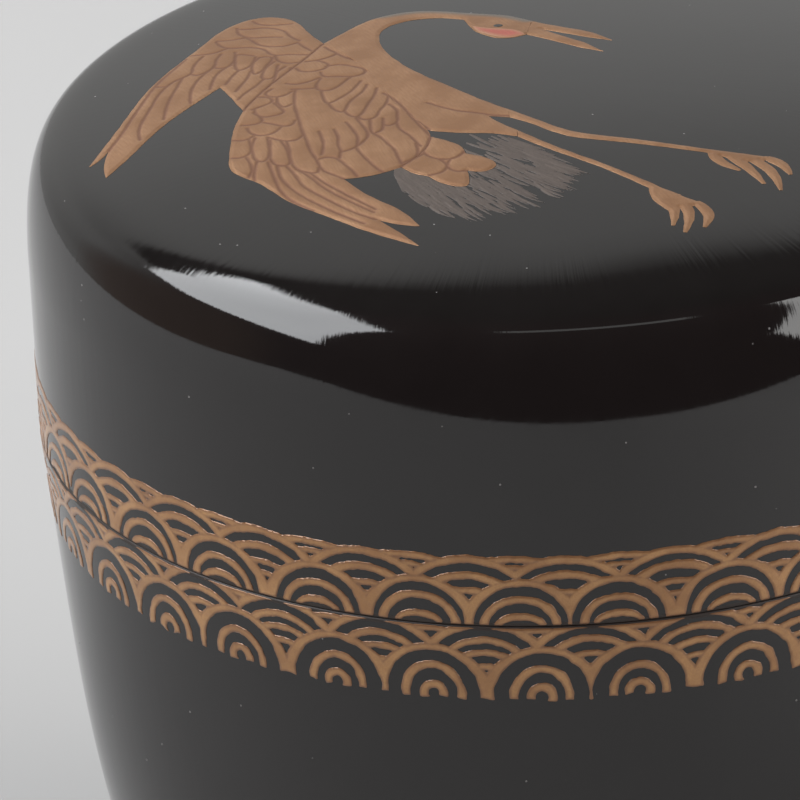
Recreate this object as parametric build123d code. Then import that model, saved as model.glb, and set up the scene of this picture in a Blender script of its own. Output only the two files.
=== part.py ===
from build123d import *
import math
import os

# A turned wooden tea caddy with a lift-off lid, coated in black lacquer, with raised gold
# decoration: a flying crane on the lid, and a band of overlapping waves around the seam.
# Millimetres, +Z up. The origin is the centre of the foot, and -Y is the side that faces
# the viewer when the crane is upright.

# Driving dimensions
RADIUS = 33.5               # outside radius at the seam and up the lid's wall
SEAM_Z = 47.0               # height of the seam between body and lid
LID_HEIGHT = 22.0           # seam to the top of the lid
COAT = 0.3                  # lacquer with its ground coat
EDGE_ROUND = 0.2            # softened corner at each side of the seam
RELIEF = 0.12               # how far the gold stands above the lacquer

# Body wall: radius / RADIUS = 1 - taper * t - tuck * t ** power, with t = drop / RADIUS
WALL_TAPER = 0.077
WALL_TUCK = 0.062
TUCK_POWER = 4.6
WALL_STATIONS = 8           # points that each wall curve passes through
WALL_END_Z = 1.0            # where the wall starts to round into the foot
BODY_WALL = 3.2             # whole thickness of the body's wall, lacquer included
FLOOR_Z = 4.3               # top of the chamber's floor
FLOOR_BLEND_Z = 9.5         # where the chamber's wall starts to round into its floor
FLOOR_FLAT_RADIUS = 16.0    # flat part of the chamber's floor

# Foot
FOOT_RING_OUTER = 18.9
FOOT_RING_INNER = 17.4
FOOT_RECESS = 0.4
RECESS_SLOPE = 0.4

# Lip that the lid slides over
LIP_RADIUS = 31.7
LIP_HEIGHT = 5.5
LIP_CLEARANCE = 0.1         # running clearance, on the radius

# Lid
LID_WALL = RADIUS - LIP_RADIUS - LIP_CLEARANCE
LID_TOP = 3.0               # whole thickness of the lid's top, lacquer included
DOME_SAG = 1.6              # how far the top has fallen at DOME_SAG_RADIUS
DOME_SAG_RADIUS = 26.0
SHOULDER_FOOT = 12.0        # height above the seam where the wall starts to round over
SHOULDER_POWER = 41         # (radius / RADIUS) ** power + (height share) ** 2 = 1
SHOULDER_TURNS = (1, 6, 13, 22, 33, 45, 60, 75, 90)   # degrees, from the dome to the wall

# Wave band
SCALES = 32                 # scales in each row, around the caddy
PITCH = 2 * math.pi * RADIUS / SCALES
LID_PHASE = 3.95            # arc distance from -Y to the lid's first scale
BODY_PHASE = 5.1
SCALE_RINGS = ((3.15, 2.72), (2.0, 1.58), (0.95, 0.5))   # outer and inner radii of the lines
SCALE_SQUASH = 0.97         # height of a ring over its radius
ROW_GAP = 0.1               # bare lacquer between two rows
LID_ROWS = (0.3, 1.7)       # centres of the front and back rows, from the seam
BODY_ROWS = (-5.0, -3.4)
BODY_BAND_TOP = -0.3        # upper limit of the body's band, from the seam


def wall_radius(drop, inset):
    """Radius of the body's wall this far below the seam, for a surface this deep in it."""
    t = drop / RADIUS
    outside = RADIUS * (1 - WALL_TAPER * t - WALL_TUCK * t ** TUCK_POWER)
    slope = WALL_TAPER + WALL_TUCK * TUCK_POWER * t ** (TUCK_POWER - 1)
    return outside - inset * math.hypot(1, slope)


def wall_point(drop, inset):
    return Vector(wall_radius(drop, inset), 0, SEAM_Z - drop)


def wall_line(inset, top, bottom):
    """The body's wall from one drop below the seam to another."""
    step = (bottom - top) / (WALL_STATIONS - 1)
    return Spline(*[wall_point(top + step * i, inset) for i in range(WALL_STATIONS)])


def foot_round(inset, ring_radius):
    """The rounded edge from the end of the wall to the foot ring."""
    start = wall_point(SEAM_Z - WALL_END_Z, inset)
    slope = (wall_line(inset, COAT, SEAM_Z - WALL_END_Z) % 1)
    corner = start + slope * ((start.Z - inset) / -slope.Z)
    return Bezier(start, corner, Vector(ring_radius, 0, inset))


def foot_underside(inset):
    """The foot ring's flat and the shallow recess inside it, from the ring inwards."""
    recess_radius = FOOT_RING_INNER - RECESS_SLOPE
    return Polyline(
        (FOOT_RING_OUTER, 0, inset),
        (FOOT_RING_INNER, 0, inset),
        (recess_radius, 0, inset + FOOT_RECESS),
        (0, 0, inset + FOOT_RECESS),
    )


def chamber_line(inset, floor_z):
    """The chamber from the seam's height down to the middle of its floor."""
    bottom = SEAM_Z - FLOOR_BLEND_Z
    side = wall_line(inset, COAT, bottom)
    corner = Spline(side @ 1, (FLOOR_FLAT_RADIUS, 0, floor_z), tangents=[side % 1, (-1, 0, 0)])
    floor = Line((FLOOR_FLAT_RADIUS, 0, floor_z), (0, 0, floor_z))
    return [side, corner, floor]


def lip_line(outer, inner, foot_z):
    """The lip's outside, rounded top and inside, ending level with the chamber's wall."""
    half = (outer - inner) / 2
    crown_z = SEAM_Z + LIP_HEIGHT - (LIP_RADIUS - wall_radius(COAT, BODY_WALL)) / 2
    top = (inner + half, 0, crown_z + half)
    return [
        Line((outer, 0, foot_z), (outer, 0, crown_z)),
        ThreePointArc((outer, 0, crown_z), top, (inner, 0, crown_z)),
        Line((inner, 0, crown_z), (inner, 0, SEAM_Z - COAT)),
    ]


def shoulder_point(turn):
    """The lid's outside, from turn 0 in the dome to turn 90 at the wall, from the seam's height."""
    angle = math.radians(turn)
    radius = RADIUS * math.sin(angle) ** (2 / SHOULDER_POWER)
    dome = LID_HEIGHT - DOME_SAG * (radius / DOME_SAG_RADIUS) ** 2
    height = SHOULDER_FOOT + (dome - SHOULDER_FOOT) * math.cos(angle)
    return Vector(radius, 0, SEAM_Z + height)


def shoulder_station(turn, wall_inset, top_inset):
    """That point moved inwards along the surface's normal."""
    along = (shoulder_point(turn + 0.5) - shoulder_point(turn - 0.5)).normalized()
    return shoulder_point(turn) - Vector(-along.Z * wall_inset, 0, along.X * top_inset)


def lid_line(wall_inset, top_inset, rim_z):
    """The lid from the middle of its top, over the shoulder and down to the rim."""
    stations = [shoulder_station(turn, wall_inset, top_inset) for turn in SHOULDER_TURNS]
    apex = (0, 0, SEAM_Z + LID_HEIGHT - top_inset)
    dome = TangentArc(apex, stations[0], tangent=(1, 0, 0))
    shoulder = Spline(*stations, tangents=[dome % 1, (0, 0, -1)])
    return [dome, shoulder, Line(stations[-1], (stations[-1].X, 0, rim_z))]


def turned(*edges):
    """One revolved solid from the edges of its half section."""
    return revolve(make_face(edges), axis=Axis.Z)


def body_core():
    """The turned wooden body, with the lip that the lid slides over."""
    foot_drop = SEAM_Z - WALL_END_Z
    ledge_z = SEAM_Z - COAT
    wood = BODY_WALL - COAT
    lip_outer = LIP_RADIUS - COAT
    return turned(
        *lip_line(lip_outer, wall_radius(COAT, wood), ledge_z),
        *chamber_line(wood, FLOOR_Z - COAT),
        Line((0, 0, FLOOR_Z - COAT), (0, 0, COAT + FOOT_RECESS)),
        foot_underside(COAT),
        foot_round(COAT, FOOT_RING_OUTER),
        wall_line(COAT, COAT, foot_drop),
        Line(wall_point(COAT, COAT), (lip_outer, 0, ledge_z)),
    )


def body_outer_lacquer():
    """The black coat on the outside of the body's wall."""
    foot_drop = SEAM_Z - WALL_END_Z
    inner_top = Vector(wall_radius(COAT, COAT), 0, SEAM_Z)
    corner = Vector(RADIUS, 0, SEAM_Z)
    return turned(
        Line(inner_top, (RADIUS - EDGE_ROUND, 0, SEAM_Z)),
        Bezier((RADIUS - EDGE_ROUND, 0, SEAM_Z), corner, wall_point(EDGE_ROUND, 0)),
        wall_line(0, EDGE_ROUND, foot_drop),
        Line(wall_point(foot_drop, 0), wall_point(foot_drop, COAT)),
        wall_line(COAT, COAT, foot_drop),
        Line(wall_point(COAT, COAT), inner_top),
    )


def body_inner_lacquer():
    """The black coat over the ledge, the lip and the whole chamber."""
    wood = BODY_WALL - COAT
    edge_radius = wall_radius(COAT, COAT)
    return turned(
        Line((edge_radius, 0, SEAM_Z), (LIP_RADIUS, 0, SEAM_Z)),
        *lip_line(LIP_RADIUS, wall_radius(COAT, BODY_WALL), SEAM_Z),
        *chamber_line(BODY_WALL, FLOOR_Z),
        Line((0, 0, FLOOR_Z), (0, 0, FLOOR_Z - COAT)),
        *chamber_line(wood, FLOOR_Z - COAT),
        *lip_line(LIP_RADIUS - COAT, wall_radius(COAT, wood), SEAM_Z - COAT),
        Line((LIP_RADIUS - COAT, 0, SEAM_Z - COAT), (edge_radius, 0, SEAM_Z - COAT)),
        Line((edge_radius, 0, SEAM_Z - COAT), (edge_radius, 0, SEAM_Z)),
    )


def foot_lacquer():
    """The black coat under the foot, which the caddy stands on."""
    foot_drop = SEAM_Z - WALL_END_Z
    return turned(
        foot_round(0, FOOT_RING_OUTER),
        foot_underside(0),
        Line((0, 0, FOOT_RECESS), (0, 0, FOOT_RECESS + COAT)),
        foot_underside(COAT),
        foot_round(COAT, FOOT_RING_OUTER),
        Line(wall_point(foot_drop, COAT), wall_point(foot_drop, 0)),
    )


def lid_core():
    """The turned wooden lid."""
    rim_z = SEAM_Z + COAT
    return turned(
        *lid_line(COAT, COAT, rim_z),
        Line((RADIUS - COAT, 0, rim_z), (RADIUS - LID_WALL + COAT, 0, rim_z)),
        *lid_line(LID_WALL - COAT, LID_TOP - COAT, rim_z),
        Line((0, 0, SEAM_Z + LID_HEIGHT - LID_TOP + COAT), (0, 0, SEAM_Z + LID_HEIGHT - COAT)),
    )


def lid_outer_lacquer():
    """The black coat over the lid's top, shoulder and wall."""
    corner = Vector(RADIUS, 0, SEAM_Z)
    return turned(
        *lid_line(0, 0, SEAM_Z + EDGE_ROUND),
        Bezier((RADIUS, 0, SEAM_Z + EDGE_ROUND), corner, (RADIUS - EDGE_ROUND, 0, SEAM_Z)),
        Line((RADIUS - EDGE_ROUND, 0, SEAM_Z), (RADIUS - COAT, 0, SEAM_Z)),
        Line((RADIUS - COAT, 0, SEAM_Z), (RADIUS - COAT, 0, SEAM_Z + COAT)),
        *lid_line(COAT, COAT, SEAM_Z + COAT),
        Line((0, 0, SEAM_Z + LID_HEIGHT - COAT), (0, 0, SEAM_Z + LID_HEIGHT)),
    )


def lid_inner_lacquer():
    """The black coat inside the lid and over its rim."""
    inner = RADIUS - LID_WALL
    hollow_top = SEAM_Z + LID_HEIGHT - LID_TOP
    return turned(
        *lid_line(LID_WALL, LID_TOP, SEAM_Z),
        Line((inner, 0, SEAM_Z), (RADIUS - COAT, 0, SEAM_Z)),
        Line((RADIUS - COAT, 0, SEAM_Z), (RADIUS - COAT, 0, SEAM_Z + COAT)),
        Line((RADIUS - COAT, 0, SEAM_Z + COAT), (inner + COAT, 0, SEAM_Z + COAT)),
        *lid_line(LID_WALL - COAT, LID_TOP - COAT, SEAM_Z + COAT),
        Line((0, 0, hollow_top + COAT), (0, 0, hollow_top)),
    )


# Wave band -----------------------------------------------------------------------------

def scale_disc(across, up, radius):
    """The filled outline of a scale, as a flat face in the band's own plane."""
    return Pos(across, up) * Ellipse(radius, radius * SCALE_SQUASH)


def scale_lines(across, up, rings):
    """The arched lines of one scale, above the height of its centre."""
    lines = Sketch()
    for outer, inner in rings:
        lines += scale_disc(across, up, outer) - scale_disc(across, up, inner)
    above = Pos(across, up + RADIUS / 2) * Rectangle(RADIUS, RADIUS)
    return lines & above


def wave_cell(front_up, back_up):
    """One pitch of the band: a whole scale, and the arch that shows behind its neighbours."""
    cover = SCALE_RINGS[0][0] + ROW_GAP
    front = scale_lines(0, front_up, SCALE_RINGS)
    back = scale_lines(0, back_up, SCALE_RINGS[:1])
    for across in (-PITCH / 2, PITCH / 2):
        back -= scale_disc(across, front_up, cover)
    return front, back


def wave_band(rows, ceiling, phase, shell):
    """The band's cell cut from a thin shell around the wall, and repeated all round."""
    front, back = wave_cell(*rows)
    half_pitch = 180 / SCALES
    below = Pos(0, ceiling - RADIUS / 2) * Rectangle(RADIUS, RADIUS)
    plane = Plane(origin=(0, -RADIUS - 1, SEAM_Z), x_dir=(1, 0, 0), z_dir=(0, -1, 0))
    pads = []
    for row, shift in ((front, 0), (back, half_pitch)):
        cutter = extrude(plane * (row & below), -3)
        cut = cutter & shell
        pads.extend(Rot(0, 0, shift) * pad for pad in cut.solids())
    start = 360 * phase / (2 * math.pi * RADIUS)
    turns = [Rot(0, 0, start + 360 * i / SCALES) for i in range(SCALES)]
    return Compound(children=[turn * pad for turn in turns for pad in pads])


def body_wave_band():
    """The gold waves on the body, just below the seam."""
    lowest = 1 - BODY_ROWS[0]
    shell = turned(
        wall_line(0, EDGE_ROUND, SEAM_Z - WALL_END_Z),
        Line(wall_point(SEAM_Z - WALL_END_Z, 0), wall_point(SEAM_Z - WALL_END_Z, -RELIEF)),
        wall_line(-RELIEF, EDGE_ROUND, SEAM_Z - WALL_END_Z),
        Line(wall_point(EDGE_ROUND, -RELIEF), wall_point(EDGE_ROUND, 0)),
    )
    collar = Pos(0, 0, SEAM_Z - lowest / 2) * Cylinder(RADIUS + 1, lowest)
    return wave_band(BODY_ROWS, BODY_BAND_TOP, BODY_PHASE, shell & collar)


def lid_wave_band():
    """The gold waves on the lid's wall, just above the seam."""
    foot_z = SEAM_Z + EDGE_ROUND
    height = SHOULDER_FOOT - EDGE_ROUND
    outer = Cylinder(RADIUS + RELIEF, height, align=(Align.CENTER, Align.CENTER, Align.MIN))
    inner = Cylinder(RADIUS, height, align=(Align.CENTER, Align.CENTER, Align.MIN))
    shell = Pos(0, 0, foot_z) * (outer - inner)
    return wave_band(LID_ROWS, SHOULDER_FOOT, LID_PHASE, shell)


# Crane ---------------------------------------------------------------------------------
# Each outline is a list of stretches seen from above, and each stretch is a smooth run
# from one corner to the next.

FAR_WING = [
    [(-14.1, 8.3), (-15.2, 10.8), (-16.5, 13.7), (-18.3, 14.7), (-20.2, 13.8), (-22.0, 10.8),
     (-25.0, 4.8), (-26.9, -1.2), (-28.75, -7.0)],
    [(-28.75, -7.0), (-28.2, -6.4), (-27.6, -5.2)],
    [(-27.6, -5.2), (-27.8, -7.4), (-27.6, -9.0)],
    [(-27.6, -9.0), (-26.6, -7.3), (-24.5, -3.0), (-22.0, 0.8), (-20.7, 2.6)],
    [(-20.7, 2.6), (-19.8, 0.2), (-19.1, -1.75)],
    [(-19.1, -1.75), (-17.6, 1.6), (-15.6, 5.2), (-14.1, 8.3)],
]
NEAR_WING = [
    [(-14.1, 8.3), (-15.6, 5.2), (-17.6, 1.6), (-19.1, -1.75)],
    [(-19.1, -1.75), (-19.65, -4.7), (-19.8, -8.0), (-19.45, -10.8), (-18.1, -12.3),
     (-16.2, -15.1), (-14.1, -17.3), (-10.7, -20.4), (-7.8, -22.45)],
    [(-7.8, -22.45), (-8.9, -20.8), (-10.5, -18.7)],
    [(-10.5, -18.7), (-9.3, -19.5), (-7.8, -20.0)],
    [(-7.8, -20.0), (-8.9, -18.0), (-11.0, -15.6), (-12.5, -13.2)],
    [(-12.5, -13.2), (-10.9, -13.05), (-8.95, -12.2)],
    [(-8.95, -12.2), (-7.6, -10.3), (-7.1, -8.2), (-8.3, -5.2), (-9.6, -2.0), (-10.7, 1.5),
     (-12.2, 5.0), (-14.1, 8.3)],
]
NECK_AND_BODY = [
    [(-14.1, 8.3), (-12.3, 10.7), (-10.7, 12.3), (-7.8, 13.05), (-4.5, 12.0), (-2.0, 11.1),
     (-0.5, 9.9)],
    [(-0.5, 9.9), (-0.9, 7.5)],
    [(-0.9, 7.5), (-2.1, 7.0), (-3.9, 8.05), (-4.5, 9.25), (-5.0, 10.9)],
    [(-5.0, 10.9), (-6.5, 11.45), (-8.3, 11.4), (-9.95, 10.45), (-10.5, 8.2), (-9.9, 5.5),
     (-8.0, 1.9), (-5.9, -0.75), (-3.3, -3.75), (-2.2, -4.8)],
    [(-2.2, -4.8), (-2.1, -6.0)],
    [(-2.1, -6.0), (-3.5, -5.65)],
    [(-3.5, -5.65), (-2.6, -6.95), (-1.6, -8.0)],
    [(-1.6, -8.0), (-1.65, -8.85)],
    [(-1.65, -8.85), (-3.05, -8.3), (-4.8, -8.0), (-7.05, -7.4)],
    [(-7.05, -7.4), (-11.0, -3.0), (-14.1, 8.3)],
]
UPPER_BILL = [
    [(-0.5, 9.9), (1.25, 8.75), (3.3, 7.5), (4.65, 6.0)],
    [(4.65, 6.0), (2.7, 6.9), (1.25, 7.7), (-0.65, 9.0)],
    [(-0.65, 9.0), (-0.5, 9.9)],
]
LOWER_BILL = [
    [(-0.68, 8.85), (0.7, 7.5), (2.5, 6.0), (4.0, 4.1)],
    [(4.0, 4.1), (2.7, 4.8), (0.6, 6.4), (-0.9, 7.5)],
    [(-0.9, 7.5), (-0.68, 8.85)],
]
UPPER_SHANK = [
    [(-2.2, -4.8), (0.05, -6.95), (1.5, -8.2), (4.6, -9.35), (10.3, -11.1), (14.1, -12.05)],
    [(14.1, -12.05), (13.6, -12.5), (10.3, -11.6)],
    [(10.3, -11.6), (4.1, -9.85), (1.2, -8.8), (-0.6, -7.2), (-2.1, -6.0)],
    [(-2.1, -6.0), (-2.2, -4.8)],
]
LOWER_SHANK = [
    [(-1.6, -8.0), (0.3, -10.05), (4.1, -13.4), (7.9, -16.9), (9.6, -18.3)],
    [(9.6, -18.3), (9.0, -18.6), (6.4, -16.3)],
    [(6.4, -16.3), (3.2, -13.2), (0.3, -10.75), (-1.65, -8.85)],
    [(-1.65, -8.85), (-1.6, -8.0)],
]
# Each toe is its root, the point where it is widest, and its tip
TOES = [
    ((10.4, -11.5), (10.9, -12.7), (12.1, -13.9)),
    ((11.3, -11.7), (12.5, -13.4), (13.5, -15.6)),
    ((12.6, -12.0), (14.0, -14.0), (14.5, -16.4)),
    ((13.8, -12.1), (14.7, -13.0), (15.2, -14.3)),
    ((6.6, -16.2), (7.0, -17.8), (7.6, -19.1)),
    ((7.1, -16.6), (7.8, -18.9), (7.7, -21.0)),
    ((8.0, -17.2), (8.7, -19.4), (8.4, -21.8)),
    ((9.2, -18.1), (9.9, -19.6), (9.6, -21.2)),
]
TOE_WIDTH = 0.5
TAIL_COVERTS = [
    [(-7.1, -8.2), (-6.0, -9.05), (-5.2, -9.9), (-4.9, -10.9)],
    [(-4.9, -10.9), (-3.7, -11.6), (-3.05, -12.8), (-3.8, -13.45), (-4.85, -13.2)],
    [(-4.85, -13.2), (-4.7, -14.3), (-4.9, -15.25), (-6.0, -15.0), (-7.25, -13.7)],
    [(-7.25, -13.7), (-8.1, -13.2), (-8.95, -12.2)],
    [(-8.95, -12.2), (-7.6, -10.3), (-7.1, -8.2)],
]
CHEEK = [
    [(-4.3, 8.9), (-3.6, 7.6), (-2.3, 7.15), (-1.3, 7.4)],
    [(-1.3, 7.4), (-2.6, 8.1), (-4.3, 8.9)],
]
EYE_AT = (-2.75, 9.2)
EYE_RADIUS = 0.28
# Hair-like tail plumes fan out from behind the coverts: roots and tips of the fan's edges
PLUMES = 15
PLUME_WIDTH = 0.3
PLUME_ROOTS = ((-8.3, -13.4), (-5.2, -10.9), (-2.6, -9.0))
PLUME_TIPS = ((-8.6, -17.0), (-3.4, -20.0), (2.7, -14.6))


def outline_face(stretches):
    """A flat face inside a closed outline of smooth stretches."""
    edges = []
    for points in stretches:
        edges.append(Line(*points) if len(points) == 2 else Spline(*points))
    return Sketch() + make_face(edges)


def blade(root, belly, tip, width):
    """A narrow curved blade through three points, pointed at both ends."""
    along = Spline(root, belly, tip)
    middle = along @ 0.5
    side = (along % 0.5).rotate(Axis.Z, 90) * (width / 2)
    return Sketch() + make_face([Spline(root, middle + side, tip), Spline(tip, middle - side, root)])


def on_arc(through, share):
    """A point part of the way along the arc through three points."""
    return ThreePointArc(*through) @ share


def plume_fan():
    """Hair plumes side by side, from the roots' arc to the tips' arc."""
    fan = Sketch()
    for i in range(PLUMES):
        share = i / (PLUMES - 1)
        root = on_arc(PLUME_ROOTS, share)
        tip = on_arc(PLUME_TIPS, share)
        sag = (tip - root).rotate(Axis.Z, 90) * 0.05
        fan += blade(root, (root + tip) * 0.5 - sag, tip, PLUME_WIDTH)
    return fan


def legs_face():
    """Both legs with their toes, as one flat outline."""
    face = outline_face(UPPER_SHANK) + outline_face(LOWER_SHANK)
    for root, belly, tip in TOES:
        face += blade(root, belly, tip, TOE_WIDTH)
    return face


def crane_faces():
    """The crane's fields, cut back so that no two of them overlap."""
    far_wing = outline_face(FAR_WING)
    near_wing = outline_face(NEAR_WING)
    coverts = outline_face(TAIL_COVERTS)
    cheek = outline_face(CHEEK)
    eye = Pos(*EYE_AT) * Circle(EYE_RADIUS)
    body = outline_face(NECK_AND_BODY)
    bill = outline_face(UPPER_BILL) + outline_face(LOWER_BILL)
    legs = legs_face()
    plumes = plume_fan()
    far_wing = far_wing - near_wing
    body = body - near_wing - far_wing - cheek - eye
    coverts = coverts - near_wing
    bill = bill - body
    legs = legs - body
    plumes = plumes - coverts - legs - body - near_wing
    return {
        "crane_far_wing": far_wing,
        "crane_near_wing": near_wing,
        "crane_neck_and_body": body,
        "crane_bill": bill,
        "crane_cheek": cheek,
        "crane_eye": eye,
        "crane_legs": legs,
        "crane_tail_coverts": coverts,
        "crane_tail_plumes": plumes,
    }


def crane_pads():
    """Each field as a thin pad that follows the lid's top."""
    rim_z = SEAM_Z + EDGE_ROUND
    shell = turned(
        *lid_line(0, 0, rim_z),
        Line((RADIUS, 0, rim_z), (RADIUS + RELIEF, 0, rim_z)),
        *lid_line(-RELIEF, -RELIEF, rim_z),
        Line((0, 0, SEAM_Z + LID_HEIGHT + RELIEF), (0, 0, SEAM_Z + LID_HEIGHT)),
    )
    half = LID_HEIGHT / 2
    pads = {}
    for node, face in crane_faces().items():
        cutter = extrude(Pos(0, 0, SEAM_Z + half) * face, LID_HEIGHT)
        pads[node] = Compound(children=(cutter & shell).solids())
    return pads


def main():
    nodes = {
        "body_core": body_core(),
        "body_outer_lacquer": body_outer_lacquer(),
        "body_inner_lacquer": body_inner_lacquer(),
        "foot_lacquer": foot_lacquer(),
        "body_wave_band": body_wave_band(),
        "lid_core": lid_core(),
        "lid_outer_lacquer": lid_outer_lacquer(),
        "lid_inner_lacquer": lid_inner_lacquer(),
        "lid_wave_band": lid_wave_band(),
    }
    nodes.update(crane_pads())
    os.makedirs("parts", exist_ok=True)
    for node, solid in nodes.items():
        export_step(solid, f"parts/{node}.step")


main()
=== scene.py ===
import math

import bmesh
import bpy
import numpy as np
from mathutils import Matrix, Vector


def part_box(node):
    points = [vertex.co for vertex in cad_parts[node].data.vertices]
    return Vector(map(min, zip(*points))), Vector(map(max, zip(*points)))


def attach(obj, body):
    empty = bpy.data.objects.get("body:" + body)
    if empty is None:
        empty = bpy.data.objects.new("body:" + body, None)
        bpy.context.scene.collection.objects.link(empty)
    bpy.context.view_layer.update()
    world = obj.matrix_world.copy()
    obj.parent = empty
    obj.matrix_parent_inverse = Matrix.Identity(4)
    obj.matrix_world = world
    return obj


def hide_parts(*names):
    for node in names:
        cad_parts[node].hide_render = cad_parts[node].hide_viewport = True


# A black lacquer tea caddy with raised gold decoration. The caddy's lengths are in
# millimetres, and its meshes are scaled to metres as they are made. The camera, the floor
# and the lights are in metres. Heights called "up" are measured from the seam between body
# and lid.

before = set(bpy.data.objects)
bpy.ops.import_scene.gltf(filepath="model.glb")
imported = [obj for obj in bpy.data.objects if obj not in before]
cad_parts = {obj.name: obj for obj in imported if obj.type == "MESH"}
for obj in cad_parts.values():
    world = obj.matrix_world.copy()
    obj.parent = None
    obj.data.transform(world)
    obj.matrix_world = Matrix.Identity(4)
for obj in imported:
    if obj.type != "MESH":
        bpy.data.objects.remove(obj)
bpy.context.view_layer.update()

MM = 0.001
lid_low, lid_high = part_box("lid_outer_lacquer")
ledge_low, ledge_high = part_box("body_inner_lacquer")
_, foot_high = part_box("foot_lacquer")
RADIUS = lid_high.x / MM
SEAM_Z = lid_low.z / MM
LID_HEIGHT = (lid_high.z - lid_low.z) / MM
COAT = 0.3
EDGE_ROUND = 0.2

# The turned form, as the CAD model has it
WALL_TAPER = 0.077
WALL_TUCK = 0.062
TUCK_POWER = 4.6
WALL_END_Z = foot_high.z / MM
BODY_WALL = 3.2
FLOOR_Z = ledge_low.z / MM + COAT
FLOOR_BLEND_Z = 9.5
FLOOR_FLAT_RADIUS = 16.0
FOOT_RING_OUTER = 18.9
FOOT_RING_INNER = 17.4
FOOT_RECESS = 0.4
LIP_RADIUS = 31.7
LIP_HEIGHT = ledge_high.z / MM - SEAM_Z
LIP_CLEARANCE = 0.1
LID_WALL = RADIUS - LIP_RADIUS - LIP_CLEARANCE
LID_TOP = 3.0
DOME_SAG = 1.6
DOME_SAG_RADIUS = 26.0
SHOULDER_FOOT = 12.0
SHOULDER_POWER = 41
AROUND = 320                # facets round a turned piece
ON_AXIS = 1e-6              # a smaller radius than this is the turning axis
FAR = 1e9                   # farther than anything here


# ---------------------------------------------------------------- the turned form

def wall_radius(drop, inset=0.0):
    """Radius of the body's wall this far below the seam, for a surface this deep in it."""
    t = np.asarray(drop, float) / RADIUS
    t = np.maximum(t, 0.0)
    outside = RADIUS * (1 - WALL_TAPER * t - WALL_TUCK * t ** TUCK_POWER)
    slope = WALL_TAPER + WALL_TUCK * TUCK_POWER * t ** (TUCK_POWER - 1)
    return outside - inset * np.hypot(1, slope)


def wall_line(inset, top, bottom, count=60):
    drops = np.linspace(top, bottom, count)
    return [(float(wall_radius(drop, inset)), SEAM_Z - drop) for drop in drops]


def dome_height(radius):
    return LID_HEIGHT - DOME_SAG * (radius / DOME_SAG_RADIUS) ** 2


def lid_height(radius):
    """The lid's outside above the seam, from its middle out to its wall."""
    share = np.clip(radius / RADIUS, 0, 1) ** SHOULDER_POWER
    return SHOULDER_FOOT + (dome_height(radius) - SHOULDER_FOOT) * np.sqrt(1 - share)


def shoulder_point(turn):
    radius = RADIUS * math.sin(turn) ** (2 / SHOULDER_POWER)
    up = SHOULDER_FOOT + (dome_height(radius) - SHOULDER_FOOT) * math.cos(turn)
    return np.array((radius, SEAM_Z + up))


def lid_line(wall_inset, top_inset, rim_z):
    """The lid from the middle of its top, over the shoulder and down to the rim."""
    shoulder = []
    for turn in np.radians(np.linspace(1, 90, 90)):
        along = shoulder_point(turn + 0.005) - shoulder_point(turn - 0.005)
        along /= np.hypot(*along)
        radius, z = shoulder_point(turn)
        shoulder.append((radius + along[1] * wall_inset, z - along[0] * top_inset))
    edge_radius, edge_z = shoulder[0]
    apex_z = SEAM_Z + LID_HEIGHT - top_inset
    dome = []
    for radius in np.linspace(0, edge_radius, 30)[:-1]:
        dome.append((radius, apex_z - (apex_z - edge_z) * (radius / edge_radius) ** 2))
    wall_z = shoulder[-1][1]
    wall = [(shoulder[-1][0], wall_z + (rim_z - wall_z) * i / 10) for i in range(1, 11)]
    return dome + shoulder + wall


def quarter(start, corner, end, count=6):
    """A soft corner: the curve from start to end that leans towards corner."""
    start, corner, end = (np.array(p, float) for p in (start, corner, end))
    points = []
    for t in np.linspace(0, 1, count + 1):
        points.append(tuple((1 - t) ** 2 * start + 2 * t * (1 - t) * corner + t ** 2 * end))
    return points


def lip_line(outer, inner, foot_z):
    half = (outer - inner) / 2
    crown_z = SEAM_Z + LIP_HEIGHT - (LIP_RADIUS - float(wall_radius(COAT, BODY_WALL))) / 2
    crown = [(inner + half + half * math.cos(a), crown_z + half * math.sin(a))
             for a in np.linspace(0, math.pi, 13)]
    return [(outer, foot_z)] + crown


def chamber_line(inset, floor_z):
    """The chamber's wall, the round into its floor, and the floor."""
    bottom = SEAM_Z - FLOOR_BLEND_Z
    wall = wall_line(inset, COAT, bottom, 40)
    (r0, z0), (r1, z1) = wall[-2:]
    corner_r = r1 + (r1 - r0) / (z1 - z0) * (floor_z - z1)
    corner = quarter(wall[-1], (corner_r, floor_z), (FLOOR_FLAT_RADIUS, floor_z), 12)
    return wall + corner[1:] + [(FLOOR_FLAT_RADIUS / 2, floor_z), (0.0, floor_z)]


def foot_line(inset):
    """The rounded edge, the foot ring and the recess, down from the wall to the middle."""
    drop = SEAM_Z - WALL_END_Z
    start = (float(wall_radius(drop, inset)), WALL_END_Z)
    above = (float(wall_radius(drop - 1, inset)), WALL_END_Z + 1)
    corner_r = start[0] - (above[0] - start[0]) * (WALL_END_Z - inset)
    edge = quarter(start, (corner_r, inset), (FOOT_RING_OUTER, inset), 8)
    step = FOOT_RING_INNER - FOOT_RECESS
    return edge + [(FOOT_RING_INNER, inset), (step, inset + FOOT_RECESS), (0.0, inset + FOOT_RECESS)]


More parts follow.
